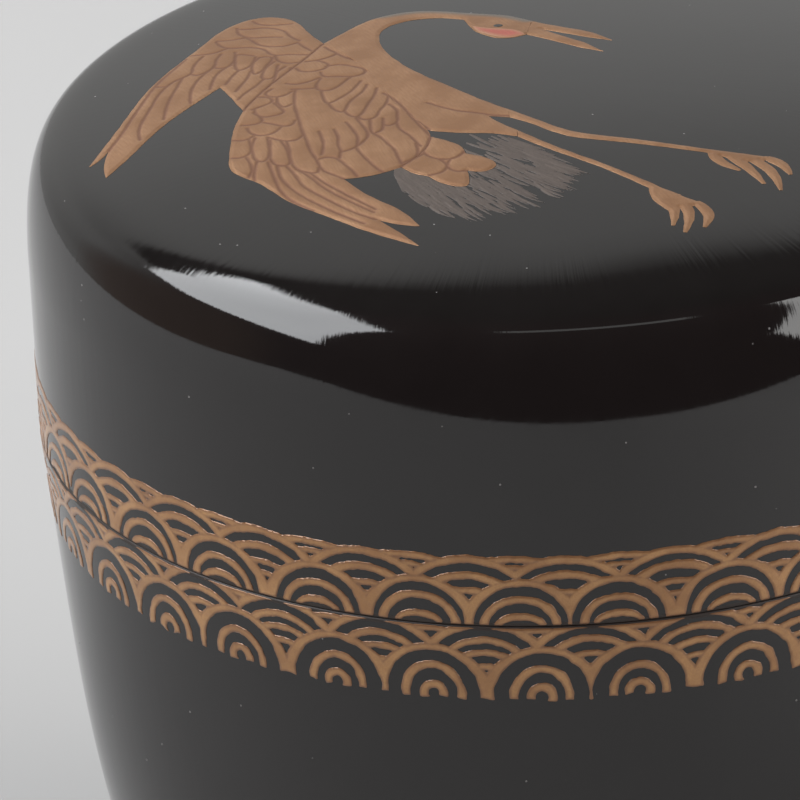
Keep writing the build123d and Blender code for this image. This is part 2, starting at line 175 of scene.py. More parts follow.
def turned(name, outline):
    """One solid of revolution. The outline runs from axis to axis, or closes on itself."""
    closed = outline[0][0] > ON_AXIS
    verts = []
    rings = []
    angles = 2 * np.pi * np.arange(AROUND) / AROUND
    for radius, z in outline:
        if radius < ON_AXIS:
            rings.append([len(verts)] * AROUND)
            verts.append((0.0, 0.0, z * MM))
            continue
        rings.append(list(range(len(verts), len(verts) + AROUND)))
        verts.extend((radius * math.cos(a) * MM, radius * math.sin(a) * MM, z * MM) for a in angles)
    faces = []
    pairs = list(zip(rings, rings[1:]))
    if closed:
        pairs.append((rings[-1], rings[0]))
    for upper, lower in pairs:
        for i in range(AROUND):
            j = (i + 1) % AROUND
            face = dict.fromkeys((upper[i], upper[j], lower[j], lower[i]))
            if len(face) > 2:
                faces.append(tuple(face))
    return made(name, verts, faces)


def made(name, verts, faces):
    """A smooth-shaded object with outward normals and crisp corners."""
    mesh = bpy.data.meshes.new(name)
    mesh.from_pydata(verts, [], faces)
    work = bmesh.new()
    work.from_mesh(mesh)
    bmesh.ops.recalc_face_normals(work, faces=work.faces)
    work.to_mesh(mesh)
    work.free()
    mesh.shade_smooth()
    mesh.set_sharp_from_angle(angle=math.radians(40))
    piece = bpy.data.objects.new(name, mesh)
    bpy.context.scene.collection.objects.link(piece)
    return piece


# ---------------------------------------------------------------- drawn relief

def smooth(points, per_span=8):
    """A natural cubic curve through the points, as a dense line."""
    points = np.array(points, float)
    if len(points) < 3:
        share = np.linspace(0, 1, per_span + 1)[:, None]
        return points[0] * (1 - share) + points[-1] * share
    gaps = np.hypot(*np.diff(points, axis=0).T)
    count = len(points)
    matrix = np.eye(count)
    right = np.zeros((count, 2))
    for i in range(1, count - 1):
        matrix[i, i - 1:i + 2] = gaps[i - 1], 2 * (gaps[i - 1] + gaps[i]), gaps[i]
        right[i] = 6 * ((points[i + 1] - points[i]) / gaps[i] - (points[i] - points[i - 1]) / gaps[i - 1])
    bend = np.linalg.solve(matrix, right)
    line = []
    for i, gap in enumerate(gaps):
        for s in np.arange(per_span) / per_span:
            a, b = 1 - s, s
            curve = a * points[i] + b * points[i + 1]
            curve += gap ** 2 / 6 * ((a ** 3 - a) * bend[i] + (b ** 3 - b) * bend[i + 1])
            line.append(curve)
    line.append(points[-1])
    return np.array(line)


def line_distance(x, y, line):
    """Distance from each grid point to the nearest part of a line."""
    best = np.full(x.shape, FAR)
    for (ax, ay), (bx, by) in zip(line, line[1:]):
        dx, dy = bx - ax, by - ay
        length = dx * dx + dy * dy
        t = np.clip(((x - ax) * dx + (y - ay) * dy) / max(length, 1e-12), 0, 1)
        best = np.minimum(best, (x - ax - t * dx) ** 2 + (y - ay - t * dy) ** 2)
    return np.sqrt(best)


def inside_distance(x, y, loop):
    """Signed distance to a closed line, positive inside it."""
    loop = np.vstack([loop, loop[:1]])
    inside = np.zeros(x.shape, bool)
    for (ax, ay), (bx, by) in zip(loop, loop[1:]):
        if ay == by:
            continue
        crosses = (ay > y) != (by > y)
        inside ^= crosses & (x < (bx - ax) * (y - ay) / (by - ay) + ax)
    away = line_distance(x, y, loop)
    return np.where(inside, away, -away)


def loop_of(stretches):
    """A closed line from smooth stretches that share their end points."""
    return np.vstack([smooth(points)[:-1] for points in stretches])


# Corners and crossings of a grid cell, anticlockwise: corner, then the edge after it
CELL_CORNERS = ((0, 0), (0, 1), (1, 1), (1, 0))


def relief(name, across, up, depth, lift, place, marks=None, sunk=0.05):
    """A closed thin relief over the part of a grid where depth is above zero.

    lift is the height over the surface at each node, place turns (across, up, lift) into a
    point, and marks are named values that a material reads."""
    inside = depth > 0
    rows, cols = depth.shape
    node = np.full(depth.shape, -1)
    node[inside] = np.arange(inside.sum())
    grid_a, grid_u = np.meshgrid(across, up)
    marks = marks or {}
    columns = [grid_a, grid_u, lift] + list(marks.values())
    points = [np.stack([c[inside] for c in columns], 1)]
    total = int(inside.sum())

    def crossings(first, second):
        """Vertices where the outline crosses the grid lines between two sets of nodes."""
        nonlocal total
        (r0, c0), (r1, c1) = first, second
        d0, d1 = depth[r0, c0], depth[r1, c1]
        cut = (d0 > 0) != (d1 > 0)
        index = np.full(cut.shape, -1)
        index[cut] = total + np.arange(cut.sum())
        t = (d0[cut] / (d0[cut] - d1[cut]))[:, None]
        one = np.stack([c[r0, c0][cut] for c in columns], 1)
        two = np.stack([c[r1, c1][cut] for c in columns], 1)
        blend = one * (1 - t) + two * t
        points.append(blend)
        total += int(cut.sum())
        return index

    every = slice(None)
    flat = crossings((every, slice(0, cols - 1)), (every, slice(1, cols)))
    tall = crossings((slice(0, rows - 1), every), (slice(1, rows), every))
    slots = []
    for k, (dr, dc) in enumerate(CELL_CORNERS):
        slots.append(node[dr:rows - 1 + dr, dc:cols - 1 + dc])
        slots.append((flat[:-1], tall[:, 1:], flat[1:], tall[:, :-1])[k])
    cells = np.stack([s.ravel() for s in slots], 1)
    used = cells >= 0
    code = used @ (1 << np.arange(8))
    values = np.vstack(points)
    top = total
    polygons = []
    for pattern in np.unique(code[code > 0]):
        picked = [k for k in range(8) if pattern >> k & 1]
        if len(picked) < 3:
            continue
        block = cells[code == pattern][:, picked]
        polygons.append(block)
        polygons.append(block[:, ::-1] + top)
        for here, after in zip(picked, picked[1:] + picked[:1]):
            if here % 2 and after % 2:
                p, q = cells[code == pattern][:, here], cells[code == pattern][:, after]
                polygons.append(np.stack([q, p, p + top, q + top], 1))
    upper = place(values[:, 0], values[:, 1], values[:, 2])
    lower = place(values[:, 0], values[:, 1], np.full(top, -sunk))
    verts = np.vstack([upper, lower]) * MM
    mesh = bpy.data.meshes.new(name)
    mesh.vertices.add(len(verts))
    mesh.vertices.foreach_set("co", verts.astype(np.float32).ravel())
    loops = np.concatenate([b.ravel() for b in polygons])
    sizes = np.concatenate([np.full(len(b), b.shape[1]) for b in polygons])
    mesh.loops.add(len(loops))
    mesh.loops.foreach_set("vertex_index", loops.astype(np.int32))
    mesh.polygons.add(len(sizes))
    starts = np.concatenate([[0], np.cumsum(sizes)[:-1]])
    mesh.polygons.foreach_set("loop_start", starts.astype(np.int32))
    mesh.update(calc_edges=True)
    for k, mark in enumerate(marks):
        both = np.tile(values[:, 3 + k], 2)
        attribute = mesh.attributes.new(mark, "FLOAT", "POINT")
        attribute.data.foreach_set("value", both.astype(np.float32))
    mesh.shade_smooth()
    piece = bpy.data.objects.new(name, mesh)
    bpy.context.scene.collection.objects.link(piece)
    return piece


def ramp(value, low, high):
    """0 below low, 1 above high, and a smooth step between them."""
    t = np.clip((value - low) / (high - low), 0, 1)
    return t * t * (3 - 2 * t)


def waviness(x, y, wavelength, seed):
    """A smooth unevenness of about -1 to 1, the same at every run."""
    waves = np.random.default_rng(seed)
    total = np.zeros(np.broadcast(x, y).shape)
    for _ in range(9):
        heading = waves.uniform(0, 2 * math.pi)
        pace = 2 * math.pi / (wavelength * waves.uniform(0.7, 1.6))
        total += np.sin(pace * (x * math.cos(heading) + y * math.sin(heading)) + waves.uniform(0, 6.28))
    return total / 4


def on_lid_top(x, y, lift):
    """A point on the lid's top or shoulder, lifted off it along its normal."""
    radius = np.hypot(x, y)
    step = 0.01
    slope = (lid_height(radius + step) - lid_height(radius - step)) / (2 * step)
    lean = np.hypot(1, slope)
    out = -slope / lean * lift / np.maximum(radius, 1e-6)
    return np.stack([x * (1 + out), y * (1 + out), SEAM_Z + lid_height(radius) + lift / lean], 1)


def on_wall(s, up, lift):
    """A point on the wall, s along the arc from the front (-Y) towards +X."""
    angle = s / RADIUS
    shy = np.maximum(EDGE_ROUND - np.abs(up), 0)
    rounding = EDGE_ROUND - np.sqrt(EDGE_ROUND ** 2 - shy ** 2)
    radius = np.where(up < 0, wall_radius(-up), RADIUS) + lift - rounding
    return np.stack([radius * np.sin(angle), -radius * np.cos(angle), SEAM_Z + up], 1)


# ---------------------------------------------------------------- wave band

SCALES = 32
PITCH = 2 * math.pi * RADIUS / SCALES
WAVE_LIFT = 0.045
WAVE_STEP = 0.1
SEAM_GAP = 0.11             # bare lacquer between the gold and the seam
LID_PHASE = 3.95            # arc distance from -Y to the lid's first scale
BODY_PHASE = 5.1
LID_BAND_TOP = 5.3
BODY_BAND_END = -5.25
# Each line of a scale: outer and inner half width, then outer and inner height
LID_FRONT_RINGS = ((3.75, 2.92, 3.28, 2.84), (2.5, 1.95, 2.12, 1.67), (1.55, 1.2, 0.93, 0.47))
LID_MIDDLE_RINGS = (
    (4.5, 3.9, 3.6, 3.1), (3.4, 2.75, 2.58, 2.06), (2.6, 2.1, 1.38, 1.02), (1.5, 1.1, 0.6, 0.26),
)
LID_TOP_RINGS = ((5.6, 4.8, 3.62, 3.2), (3.8, 3.3, 2.95, 2.66), (3.0, 0.1, 2.42, 0.1))
BODY_FRONT_RINGS = ((3.75, 2.98, 3.6, 3.15), (1.98, 1.47, 2.25, 1.76), (0.92, 0.4, 0.95, 0.44))
BODY_MIDDLE_RINGS = (
    (4.4, 3.8, 4.0, 3.5), (3.2, 2.7, 2.9, 2.44), (2.6, 1.95, 1.86, 1.45), (1.5, 1.1, 0.9, 0.5),
)
BODY_TOP_RINGS = ((5.2, 4.8, 3.95, 3.6), (4.4, 3.6, 3.45, 3.1), (3.0, 0.1, 2.68, 0.1))


def scale_centres(phase, offset, seed, seen=()):
    """Arc positions of a row's scales, spaced evenly apart from the drawing hand's wander.

    seen are the wanders of the scales on the front, as (number from the phase, wander)."""
    hand = np.random.default_rng(seed)
    even = phase + offset * PITCH + PITCH * np.arange(SCALES)
    wander = hand.uniform(-0.25, 0.25, SCALES)
    for k, shift in seen:
        wander[k % SCALES] = shift
    return even + wander


def row_depth(s, up, centres, centre_up, rings, seed):
    """Depth inside the lines of one row of scales, and inside the row's scales themselves.

    Each scale owns the wall up to half way to its neighbours, so their lines meet there."""
    hand = np.random.default_rng(seed)
    turn = 2 * math.pi * RADIUS
    lines = np.full(s.shape, -FAR)
    scales = np.full(s.shape, -FAR)
    gaps = (np.roll(centres, -1) - centres) % turn / 2
    for centre, right, left in zip(centres, gaps, np.roll(gaps, 1)):
        near = (s[0] - centre + turn / 2) % turn - turn / 2
        owned = (near >= -left) & (near < right)
        dz = up[:, owned] - centre_up - hand.uniform(-0.06, 0.06)
        dx = near[owned][None, :] + hand.uniform(-0.05, 0.05) * dz
        for number, (outer_w, inner_w, outer_h, inner_h) in enumerate(rings):
            grow = 1 + hand.uniform(-0.04, 0.04) * (number > 0)
            outer = np.hypot(dx / (outer_w * grow), dz / (outer_h * grow))
            inner = np.hypot(dx / (inner_w * grow), dz / (inner_h * grow))
            reach = np.hypot(dx, dz)
            outer_depth = reach * (1 - outer) / np.maximum(outer, 0.05)
            inner_depth = reach * (inner - 1) / np.maximum(inner, 0.05)
            line = np.minimum(outer_depth, inner_depth)
            lines[:, owned] = np.maximum(lines[:, owned], line)
            if number == 0:
                scales[:, owned] = outer_depth
    return lines, scales


def wave_rows(s, up, rows):
    """Rows of scales from front to back, each hiding what is behind it."""
    depth = np.full(s.shape, -FAR)
    hidden = np.full(s.shape, -FAR)
    for number, (centres, centre_up, rings) in enumerate(rows):
        lines, scales = row_depth(s, up, centres, centre_up, rings, 40 + number)
        depth = np.maximum(depth, np.minimum(lines, 0.12 - hidden))
        hidden = np.maximum(hidden, scales)
    return depth


def wave_band(name, low, high, rows):
    """The gold waves as a relief round the wall."""
    turn = 2 * math.pi * RADIUS
    count = int(turn / WAVE_STEP)
    across = np.linspace(0, turn, count + 1) + RADIUS * math.pi
    up = np.arange(low - WAVE_STEP * 2, high + WAVE_STEP * 2, WAVE_STEP)
    s, z = np.meshgrid(across, up)
    angle = s / RADIUS
    x, y = RADIUS * np.cos(angle) + z * 0.7, RADIUS * np.sin(angle) - z * 0.7
    uneven = waviness(x, y, 1.5, 5)
    depth = 0.03 + wave_rows(s, z, rows) + 0.04 * uneven + 0.02 * waviness(x, y, 0.5, 6)
    brush_end = 0.12 * waviness(x[:1], y[:1], 1.4, 7)
    depth = np.minimum(depth, np.minimum(z - low - brush_end * (low < -1), high - z))
    depth[0] = depth[-1] = -1
    lift = WAVE_LIFT * (0.4 + 0.6 * ramp(depth, 0, 0.12)) + 0.004 * uneven
    return relief(name, across, up, depth, lift, on_wall, {"edge": depth})


def lid_waves():
    seen = (
        (0, -0.35), (1, 0.08), (-1, 0.2), (-2, 0.5), (-3, 0.4), (-4, -0.05), (-5, -0.25), (-6, -0.65),
    )
    front = scale_centres(LID_PHASE, 0, 1, seen)
    middle = scale_centres(LID_PHASE, 0.5, 2, ((-1, -0.2), (-2, 0.2), (-3, 0.45), (-4, -0.1)))
    top = scale_centres(LID_PHASE, 0, 3)
    rows = ((front, 0.0, LID_FRONT_RINGS), (middle, 1.2, LID_MIDDLE_RINGS), (top, 1.2, LID_TOP_RINGS))
    return wave_band("lid_waves", SEAM_GAP, LID_BAND_TOP, rows)


def body_waves():
    seen = (
        (0, -0.3), (1, 0.12), (-1, 0.18), (-2, 0.0), (-3, 0.23), (-4, -0.29), (-5, 0.0), (-6, 0.17),
    )
    front = scale_centres(BODY_PHASE, 0, 4, seen)
    middle = scale_centres(BODY_PHASE, 0.5, 5, ((-1, 0.1), (-2, 0.0), (-3, 0.1), (-4, -0.15)))
    top = scale_centres(BODY_PHASE, 0, 6)
    rows = ((front, -5.0, BODY_FRONT_RINGS), (middle, -3.6, BODY_MIDDLE_RINGS), (top, -3.6, BODY_TOP_RINGS))
    return wave_band("body_waves", BODY_BAND_END, -SEAM_GAP, rows)


# ---------------------------------------------------------------- crane

FAR_WING = [
    [(-14.1, 8.3), (-15.2, 10.8), (-16.5, 13.7), (-18.3, 14.7), (-20.2, 13.8), (-22.0, 10.8),
     (-25.0, 4.8), (-26.9, -1.2), (-28.75, -7.0)],
    [(-28.75, -7.0), (-28.2, -6.4), (-27.6, -5.2)],
    [(-27.6, -5.2), (-27.8, -7.4), (-27.6, -9.0)],
    [(-27.6, -9.0), (-26.6, -7.3), (-24.5, -3.0), (-22.0, 0.8), (-20.7, 2.6)],
    [(-20.7, 2.6), (-19.8, 0.2), (-19.1, -1.75)],
    [(-19.1, -1.75), (-17.6, 1.6), (-15.6, 5.2), (-14.1, 8.3)],
]
NEAR_WING = [
    [(-14.1, 8.3), (-15.6, 5.2), (-17.6, 1.6), (-19.1, -1.75)],
    [(-19.1, -1.75), (-19.65, -4.7), (-19.8, -8.0), (-19.45, -10.8), (-18.1, -12.3),
     (-16.2, -15.1), (-14.1, -17.3), (-10.7, -20.4), (-7.8, -22.45)],
    [(-7.8, -22.45), (-8.9, -20.8), (-10.5, -18.7)],
    [(-10.5, -18.7), (-9.3, -19.5), (-7.8, -20.0)],
    [(-7.8, -20.0), (-8.9, -18.0), (-11.0, -15.6), (-12.5, -13.2)],
    [(-12.5, -13.2), (-10.9, -13.05), (-8.95, -12.2)],
    [(-8.95, -12.2), (-7.6, -10.3), (-7.1, -8.2), (-8.3, -5.2), (-9.6, -2.0), (-10.7, 1.5),
     (-12.2, 5.0), (-14.1, 8.3)],
]
NECK_AND_BODY = [
    [(-14.1, 8.3), (-12.3, 10.7), (-10.7, 12.3), (-7.8, 13.05), (-4.5, 12.0), (-2.0, 11.1),
     (-0.5, 9.9)],
    [(-0.5, 9.9), (-0.9, 7.5)],
    [(-0.9, 7.5), (-2.1, 7.0), (-3.9, 8.05), (-4.5, 9.25), (-5.0, 10.9)],
    [(-5.0, 10.9), (-6.5, 11.45), (-8.3, 11.4), (-9.95, 10.45), (-10.5, 8.2), (-9.9, 5.5),
     (-8.0, 1.9), (-5.9, -0.75), (-3.3, -3.75), (-2.2, -4.8)],
    [(-2.2, -4.8), (-2.1, -6.0)],
    [(-2.1, -6.0), (-3.5, -5.65)],
    [(-3.5, -5.65), (-2.6, -6.95), (-1.6, -8.0)],
    [(-1.6, -8.0), (-1.65, -8.85)],
    [(-1.65, -8.85), (-3.05, -8.3), (-4.8, -8.0), (-7.05, -7.4)],
    [(-7.05, -7.4), (-11.0, -3.0), (-14.1, 8.3)],
]
UPPER_BILL = [
    [(-0.5, 9.9), (1.25, 8.75), (3.3, 7.5), (4.65, 6.0)],
    [(4.65, 6.0), (2.7, 6.9), (1.25, 7.72), (0.3, 8.27), (-0.65, 9.0)],
    [(-0.65, 9.0), (-0.9, 9.1), (-0.8, 9.8), (-0.5, 9.9)],
]
LOWER_BILL = [
    [(-0.65, 9.0), (0.1, 8.36), (0.9, 7.5), (2.5, 6.0), (4.0, 4.1)],
    [(4.0, 4.1), (2.7, 4.8), (0.6, 6.4), (-0.9, 7.5)],
    [(-0.9, 7.5), (-1.1, 7.8), (-0.95, 8.9), (-0.65, 9.0)],
]
UPPER_SHANK = [
    [(-2.2, -4.8), (0.05, -6.95), (1.5, -8.2), (4.6, -9.35), (10.3, -11.1), (14.1, -12.05)],
    [(14.1, -12.05), (13.6, -12.5), (10.3, -11.6)],
    [(10.3, -11.6), (4.1, -9.85), (1.2, -8.8), (-0.6, -7.2), (-2.1, -6.0)],
    [(-2.1, -6.0), (-2.2, -4.8)],
]
LOWER_SHANK = [
    [(-1.6, -8.0), (0.3, -10.05), (4.1, -13.4), (7.9, -16.9), (9.6, -18.3)],
    [(9.6, -18.3), (9.0, -18.6), (6.4, -16.3)],
    [(6.4, -16.3), (3.2, -13.2), (0.3, -10.75), (-1.65, -8.85)],
    [(-1.65, -8.85), (-1.6, -8.0)],
]
TOES = [
    ((10.4, -11.5), (10.9, -12.7), (12.1, -13.9)),
    ((11.3, -11.7), (12.5, -13.4), (13.5, -15.6)),
    ((12.6, -12.0), (14.0, -14.0), (14.5, -16.4)),
    ((13.8, -12.1), (14.7, -13.0), (15.2, -14.3)),
    ((6.6, -16.2), (7.0, -17.8), (7.6, -19.1)),
    ((7.1, -16.6), (7.8, -18.9), (7.7, -21.0)),
    ((8.0, -17.2), (8.7, -19.4), (8.4, -21.8)),
    ((9.2, -18.1), (9.9, -19.6), (9.6, -21.2)),
]
TAIL_COVERTS = [
    [(-7.1, -8.2), (-6.0, -9.05), (-5.2, -9.9), (-4.9, -10.9)],
    [(-4.9, -10.9), (-3.7, -11.6), (-3.05, -12.8), (-3.8, -13.45), (-4.85, -13.2)],
    [(-4.85, -13.2), (-4.7, -14.3), (-4.9, -15.25), (-6.0, -15.0), (-7.25, -13.7)],
    [(-7.25, -13.7), (-8.1, -13.2), (-8.95, -12.2)],
    [(-8.95, -12.2), (-7.6, -10.3), (-7.1, -8.2)],
]
CHEEK = [
    [(-4.4, 9.35), (-3.8, 8.1), (-2.9, 7.4), (-2.1, 7.07), (-1.0, 7.5)],
    [(-1.0, 7.5), (-1.7, 8.3), (-3.1, 8.75), (-4.4, 9.35)],
]
EYE_AT = (-2.75, 9.2)
EYE_RADIUS = 0.3
EYE_SQUASH = 0.8            # height of the eye over its width

# Engraved lines between the feathers
FAR_WING_LINES = [
    [(-23.1, 8.3), (-24.2, 6.0), (-25.0, 4.1), (-25.6, 1.95), (-26.2, -0.35),
     (-26.9, -3.05), (-27.6, -5.2)],
    [(-22.8, 8.85), (-21.9, 8.75), (-21.1, 8.85), (-20.4, 9.3), (-19.6, 9.2), (-18.8, 9.0)],
    [(-22.0, 8.4), (-22.6, 6.4), (-22.7, 5.6), (-23.25, 5.0), (-23.8, 4.5), (-24.2, 3.85), (-24.6, 2.9),
     (-25.0, 1.2), (-25.4, -0.6), (-25.75, -2.9), (-25.6, -4.2)],
    [(-24.6, 5.0), (-24.9, 4.1), (-24.2, 3.9)],
    [(-20.8, 8.4), (-21.1, 7.35), (-21.2, 6.3), (-21.6, 5.5), (-22.2, 4.2), (-22.5, 3.0), (-22.6, 1.7),
     (-22.55, 0.5)],
    [(-22.7, 5.5), (-22.2, 5.15), (-21.6, 5.6)],
    [(-19.9, 8.4), (-20.05, 6.4), (-20.5, 5.7), (-20.9, 5.0), (-21.2, 3.8), (-21.35, 2.4)],
    [(-21.2, 6.1), (-20.7, 5.8), (-20.1, 6.1)],
    [(-23.25, 4.9), (-23.6, 3.2), (-24.0, 1.1), (-24.15, -0.4), (-24.2, -1.5)],
    [(-18.65, 7.35), (-19.2, 7.75), (-19.7, 7.9), (-19.85, 6.8), (-19.8, 5.7), (-19.45, 5.1), (-19.2, 5.2),
     (-18.7, 6.0), (-18.5, 7.1)],
    [(-19.6, 5.0), (-20.0, 4.0), (-20.35, 2.9)],
    [(-18.25, 6.95), (-18.65, 6.0), (-18.7, 4.9), (-18.45, 4.1), (-18.1, 4.4), (-17.8, 5.2), (-17.5, 6.0),
     (-17.5, 6.8), (-18.25, 6.95)],
    [(-17.3, 5.85), (-17.8, 4.9), (-18.0, 3.85), (-17.9, 3.15), (-17.5, 3.0), (-17.1, 4.1), (-17.0, 5.2)],
    [(-16.5, 4.8), (-17.0, 4.1), (-17.2, 2.75), (-17.1, 1.8), (-16.9, 1.7), (-16.6, 2.35), (-16.35, 3.45),
     (-16.15, 4.5)],
    [(-18.8, 4.6), (-19.0, 3.4), (-19.3, 2.5), (-19.65, 1.5)],
    [(-17.9, 3.0), (-18.5, 1.8), (-19.05, 1.0), (-19.45, 0.1)],
    [(-17.4, 2.0), (-17.6, 1.1), (-18.1, 0.3), (-18.5, -0.5), (-18.95, -1.4)],
    [(-18.9, 14.1), (-18.5, 13.4), (-17.85, 12.95), (-17.0, 12.75), (-16.3, 12.7)],
    [(-19.9, 13.0), (-19.8, 12.0), (-19.4, 11.25), (-18.8, 10.8), (-17.85, 10.6), (-16.9, 10.3)],
    [(-19.7, 12.75), (-18.9, 12.55), (-18.1, 12.5), (-17.4, 12.1), (-16.7, 11.3),
     (-16.3, 10.2), (-15.7, 9.3)],
    [(-21.15, 11.0), (-20.3, 10.85), (-19.4, 10.95)],
    [(-21.2, 10.8), (-20.95, 10.05), (-20.4, 9.4), (-19.7, 9.2)],
    [(-19.3, 11.0), (-18.8, 10.2), (-18.4, 9.4), (-17.6, 8.75), (-16.5, 8.6), (-15.8, 8.9)],
    [(-18.9, 9.0), (-18.25, 8.6), (-17.8, 7.9), (-17.3, 7.1), (-16.6, 6.95), (-15.7, 6.7), (-15.1, 6.5)],
    [(-15.7, 8.7), (-15.3, 7.9), (-14.9, 7.2)],
    [(-17.25, 6.95), (-17.0, 6.0), (-16.5, 5.45), (-15.7, 5.3)],
]
NEAR_WING_LINES = [
    [(-14.0, 7.6), (-13.5, 6.7), (-13.25, 6.25), (-13.9, 5.6), (-14.5, 5.35), (-15.2, 5.3)],
    [(-13.5, 6.75), (-13.0, 5.9), (-12.25, 5.0), (-11.5, 4.5)],
    [(-15.8, 4.3), (-15.5, 3.75), (-14.75, 3.5), (-14.0, 3.75), (-13.75, 4.4), (-14.0, 4.85), (-14.5, 5.3)],
    [(-13.9, 4.1), (-12.9, 4.2), (-12.0, 3.6), (-11.4, 3.0), (-11.4, 2.4), (-12.0, 2.0), (-13.0, 2.2),
     (-14.0, 2.5), (-14.2, 3.2)],
    [(-16.4, 1.9), (-15.75, 1.6), (-15.0, 1.8), (-14.25, 2.25)],
    [(-16.0, 0.8), (-15.25, 0.7), (-14.5, 0.6)],
    [(-14.2, 2.1), (-14.45, 1.0), (-14.25, 0.25), (-13.6, 0.1), (-13.0, 0.6), (-12.5, 1.5), (-12.2, 2.0)],
    [(-14.1, 0.1), (-13.95, -1.2), (-13.6, -2.0), (-13.1, -1.6), (-12.5, -0.9), (-12.0, 0.0), (-11.6, 1.1)],
    [(-13.6, -2.1), (-13.2, -3.1), (-12.75, -3.55), (-12.4, -2.6), (-12.0, -1.6),
     (-11.5, -0.7), (-11.2, 0.4)],
    [(-12.6, -3.4), (-12.3, -4.1), (-11.8, -4.5), (-11.4, -3.9), (-11.1, -2.75),
     (-10.75, -1.6), (-10.55, -0.3)],
    [(-11.7, -4.5), (-11.2, -5.05), (-10.7, -4.9), (-10.4, -4.1), (-10.0, -3.0), (-9.8, -1.6)],
    [(-15.8, 0.5), (-15.8, -1.75), (-15.6, -3.25), (-15.4, -4.75), (-15.2, -6.0), (-14.9, -7.5),
     (-14.6, -9.1), (-14.15, -10.6), (-13.9, -11.6), (-13.3, -12.4), (-12.5, -13.2)],
    [(-14.15, -6.2), (-13.95, -7.25), (-13.85, -8.5), (-13.95, -9.6)],
    [(-13.2, -6.1), (-12.95, -7.25), (-12.9, -8.5), (-12.7, -9.4)],
    [(-12.45, -5.2), (-12.0, -6.4), (-11.7, -7.6), (-11.75, -8.9)],
    [(-11.8, -4.7), (-11.4, -5.9), (-11.1, -6.9), (-11.1, -7.75), (-11.4, -8.4), (-11.75, -8.9),
     (-12.25, -9.3), (-12.7, -9.45)],
    [(-10.95, -5.1), (-10.9, -6.0), (-10.75, -7.1), (-10.4, -7.6), (-9.9, -8.6), (-9.4, -9.7),
     (-9.15, -10.75), (-8.9, -11.8)],
    [(-10.1, -5.1), (-10.1, -6.2), (-10.25, -6.9), (-10.6, -7.15)],
    [(-9.75, -3.0), (-9.25, -4.0), (-9.2, -5.0), (-9.3, -5.9), (-9.75, -6.2), (-10.1, -6.0)],
    [(-9.25, -5.75), (-9.0, -6.9), (-8.5, -7.75), (-8.0, -8.9), (-7.7, -9.5)],
    [(-8.9, -11.7), (-8.1, -11.1), (-7.9, -10.25), (-8.0, -9.1)],
    [(-11.75, -9.1), (-11.4, -10.1), (-10.9, -11.25), (-10.4, -12.25), (-10.0, -12.8)],
    [(-14.1, -10.2), (-13.75, -10.05), (-13.1, -10.25), (-12.7, -10.8), (-12.4, -11.4), (-11.9, -12.4),
     (-11.7, -13.0)],
    [(-12.75, -9.5), (-12.8, -10.3)],
    [(-17.3, 1.2), (-17.7, 0.6), (-17.4, 0.0), (-16.6, -0.1), (-16.05, 0.4)],
    [(-16.95, -0.3), (-16.8, -1.4), (-16.4, -1.9), (-16.0, -1.6)],
    [(-18.2, 0.15), (-17.45, -0.2), (-17.25, -0.75), (-17.9, -1.4), (-18.5, -1.8)],
    [(-17.1, -1.1), (-16.7, -2.0), (-16.5, -2.75), (-17.1, -3.1), (-17.75, -3.1),
     (-18.25, -2.5), (-18.35, -1.8)],
    [(-18.4, -2.3), (-18.0, -3.0), (-17.9, -3.9), (-18.5, -4.1), (-19.1, -4.05)],
    [(-17.7, -4.0), (-17.1, -4.4), (-16.6, -4.75), (-16.0, -4.85), (-15.7, -4.2)],
    [(-18.75, -4.6), (-18.4, -5.5), (-17.75, -5.9), (-17.1, -5.75), (-16.6, -5.0)],
    [(-19.6, -6.15), (-18.9, -6.3), (-18.3, -5.9)],
    [(-17.4, -6.25), (-17.0, -6.6), (-16.25, -7.1), (-15.6, -7.1), (-15.2, -6.6)],
    [(-18.6, -6.3), (-18.4, -7.6), (-18.6, -8.5), (-19.1, -8.8), (-19.6, -8.7)],
    [(-18.2, -6.2), (-18.4, -7.6), (-18.25, -8.75), (-17.9, -9.6), (-17.6, -9.7), (-17.3, -9.1),
     (-17.25, -7.9), (-17.4, -6.5)],
    [(-17.25, -6.75), (-17.2, -8.5), (-17.0, -10.0), (-16.6, -10.5), (-16.1, -10.6), (-15.95, -9.6),
     (-16.2, -8.1), (-16.6, -6.9)],
    [(-16.2, -7.1), (-16.0, -8.5), (-15.9, -9.75), (-15.5, -11.2), (-14.9, -11.8), (-14.2, -12.0),
     (-14.1, -11.4)],
    [(-18.7, -8.9), (-18.4, -9.9), (-18.3, -10.9), (-18.5, -11.7)],
    [(-18.0, -9.7), (-18.15, -11.0), (-18.1, -12.2)],
    [(-17.3, -9.9), (-17.0, -11.5), (-16.7, -13.0), (-16.2, -14.6), (-15.4, -15.9), (-14.4, -17.0)],
    [(-16.7, -10.6), (-16.5, -12.0), (-15.9, -13.6), (-15.0, -15.1), (-13.7, -16.7), (-12.3, -18.2),
     (-11.2, -19.2)],
    [(-16.1, -10.8), (-15.6, -12.0), (-15.1, -13.5), (-14.1, -15.0), (-12.9, -16.5), (-11.6, -17.9),
     (-10.5, -18.8)],
    [(-15.5, -11.3), (-14.7, -12.4), (-14.0, -13.7), (-12.9, -15.3), (-11.7, -16.7), (-10.6, -17.9)],
    [(-14.6, -12.0), (-13.9, -13.2), (-12.9, -14.6), (-11.7, -16.1), (-10.5, -17.5)],
]
